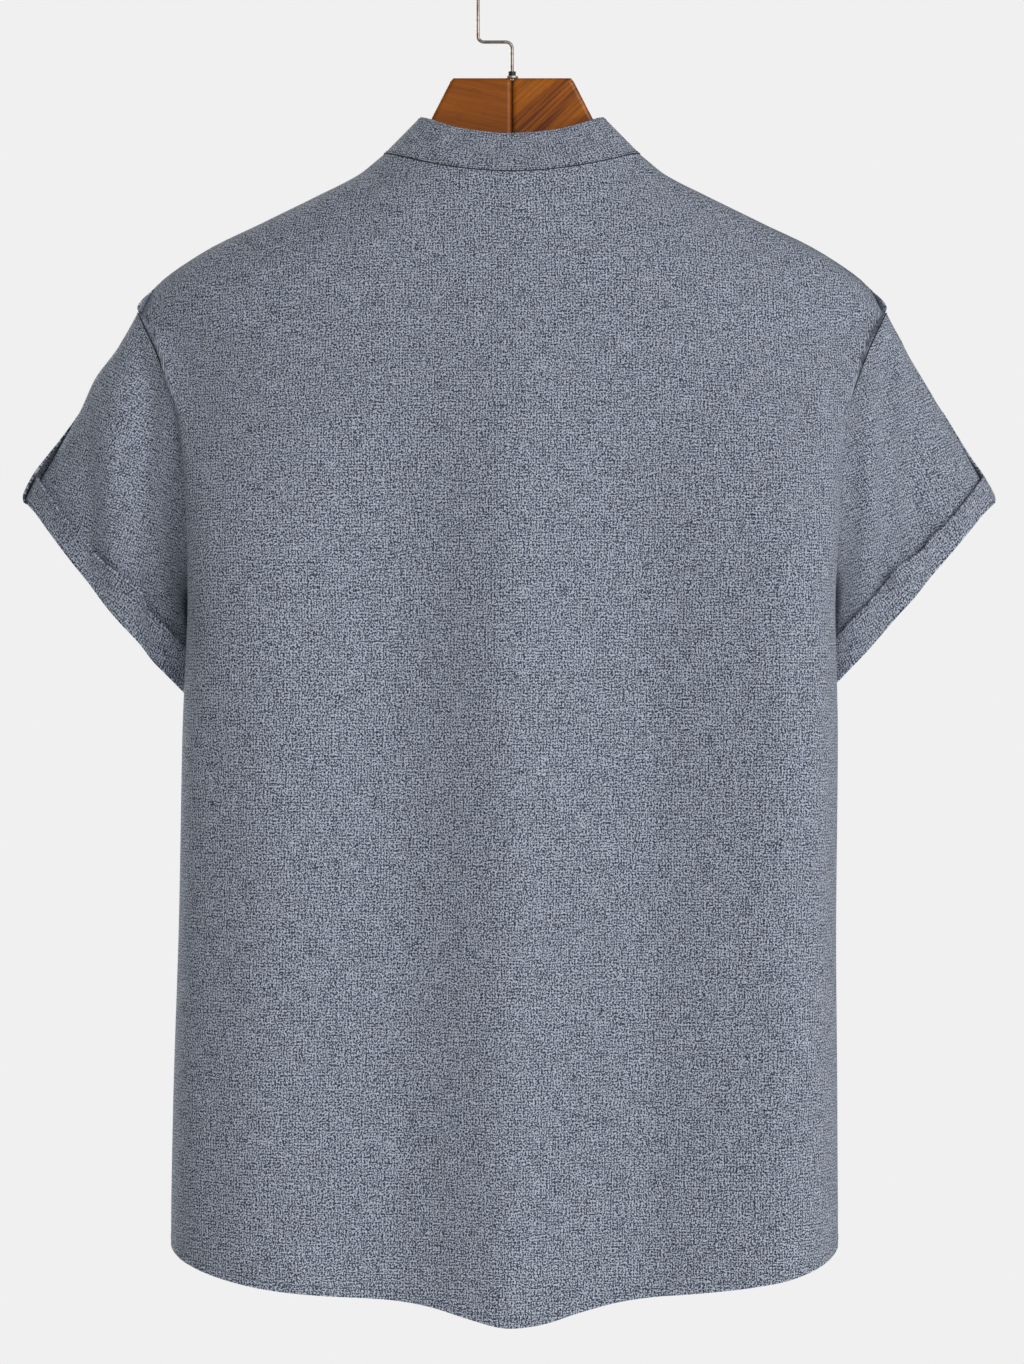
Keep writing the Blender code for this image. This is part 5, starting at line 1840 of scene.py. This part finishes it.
def floor_material(stage):
    """Pale floor that blends into the backdrop further out, where the camera sees it."""
    material, tree, shader = new_material(
        "studio_floor", Roughness=0.9, Base_Color=(0.86, 0.86, 0.86, 1)
    )
    far = add_node(tree, "ShaderNodeVectorMath", {0: object_place(tree)}, operation="LENGTH")
    glow = add_node(tree, "ShaderNodeEmission", {"Strength": stage.backdrop})
    fade = ramped(tree, far.outputs["Value"], *FLOOR_FADE)
    share = maths(tree, "MULTIPLY", fade, camera_rays(tree))
    values = {0: share, 1: shader.outputs[0], 2: glow.outputs[0]}
    mix = add_node(tree, "ShaderNodeMixShader", values)
    tree.links.new(mix.outputs[0], tree.nodes["Material Output"].inputs["Surface"])
    return material


def light_world(scene, stage):
    """Even light from all round, weaker than the backdrop that the camera sees."""
    world = scene.world or bpy.data.worlds.new("studio")
    scene.world = world
    world.use_nodes = True
    tree = world.node_tree
    tree.nodes.clear()
    given, seen = (
        add_node(tree, "ShaderNodeBackground", {"Strength": strength, "Color": (1, 1, 1, 1)})
        for strength in (stage.ambient, stage.backdrop)
    )
    values = {0: camera_rays(tree), 1: given.outputs[0], 2: seen.outputs[0]}
    mix = add_node(tree, "ShaderNodeMixShader", values)
    end = tree.nodes.new("ShaderNodeOutputWorld")
    tree.links.new(mix.outputs[0], end.inputs["Surface"])


class SHIRT_OT_make_stage(bpy.types.Operator):
    """Makes the pale floor, the soft studio light and the camera"""

    bl_idname = "shirt.make_stage"
    bl_label = "Stage"

    def execute(self, context):
        scene = context.scene
        stage = scene.shirt_stage
        bpy.ops.object.select_all(action="DESELECT")
        bpy.ops.mesh.primitive_plane_add(size=FLOOR_SIZE, location=(0, 0, stage.floor))
        floor = context.object
        floor.name = "studio_floor"
        floor.data.materials.append(floor_material(stage))
        light_world(scene, stage)
        for name, azimuth, power in (
            ("key", KEY_AZIMUTH, stage.key),
            ("front", FRONT_AZIMUTH, stage.fill),
            ("edge", EDGE_AZIMUTH, stage.edge),
        ):
            add_light(name + "_back", azimuth, power, stage)
            add_light(name + "_front", azimuth + 180, power, stage)

        camera = bpy.data.cameras.new("camera")
        camera.lens = CAMERA_LENS
        camera.clip_end = 200
        obj = bpy.data.objects.new("camera", camera)
        obj.location = CAMERA_PLACE
        obj.rotation_euler = (math.pi / 2, 0, math.pi)
        scene.collection.objects.link(obj)
        scene.camera = obj
        scene.view_settings.view_transform = "Standard"
        return {"FINISHED"}


class SHIRT_PT_pieces(bpy.types.Panel):
    """Lists the shirt's pieces and settings"""

    bl_label = "Shirt"
    bl_idname = "SHIRT_PT_pieces"
    bl_space_type = "VIEW_3D"
    bl_region_type = "UI"
    bl_category = "Shirt"

    def draw(self, context):
        layout = self.layout
        for operator in OPERATORS:
            layout.operator(operator.bl_idname)
        for name in SETTINGS:
            box = layout.box()
            group = getattr(context.scene, name)
            for key in group.bl_rna.properties.keys():
                if key not in ("rna_type", "name"):
                    box.prop(group, key)


SETTINGS = {
    "shirt_cloth": ClothSettings,
    "shirt_sewing": SewingSettings,
    "shirt_buttons": ButtonSettings,
    "shirt_hanger": HangerSettings,
    "shirt_stage": StageSettings,
}
OPERATORS = (
    SHIRT_OT_make_body,
    SHIRT_OT_make_sleeves,
    SHIRT_OT_make_collar,
    SHIRT_OT_make_placket,
    SHIRT_OT_make_cuffs,
    SHIRT_OT_make_tabs,
    SHIRT_OT_make_buttons,
    SHIRT_OT_make_sewing,
    SHIRT_OT_make_hanger,
    SHIRT_OT_make_stage,
)


def register():
    for group in SETTINGS.values():
        bpy.utils.register_class(group)
    for operator in OPERATORS:
        bpy.utils.register_class(operator)
    bpy.utils.register_class(SHIRT_PT_pieces)
    for name, group in SETTINGS.items():
        setattr(bpy.types.Scene, name, bpy.props.PointerProperty(type=group))


def unregister():
    for name in SETTINGS:
        delattr(bpy.types.Scene, name)
    bpy.utils.unregister_class(SHIRT_PT_pieces)
    for operator in reversed(OPERATORS):
        bpy.utils.unregister_class(operator)
    for group in reversed(list(SETTINGS.values())):
        bpy.utils.unregister_class(group)


def main():
    register()
    bpy.ops.shirt.make_body()
    bpy.ops.shirt.make_sleeves()
    bpy.ops.shirt.make_collar()
    bpy.ops.shirt.make_placket()
    bpy.ops.shirt.make_cuffs()
    bpy.ops.shirt.make_tabs()
    bpy.ops.shirt.make_buttons()
    bpy.ops.shirt.make_sewing()
    bpy.ops.shirt.make_hanger()
    bpy.ops.shirt.make_stage()


if __name__ == "__main__":
    main()
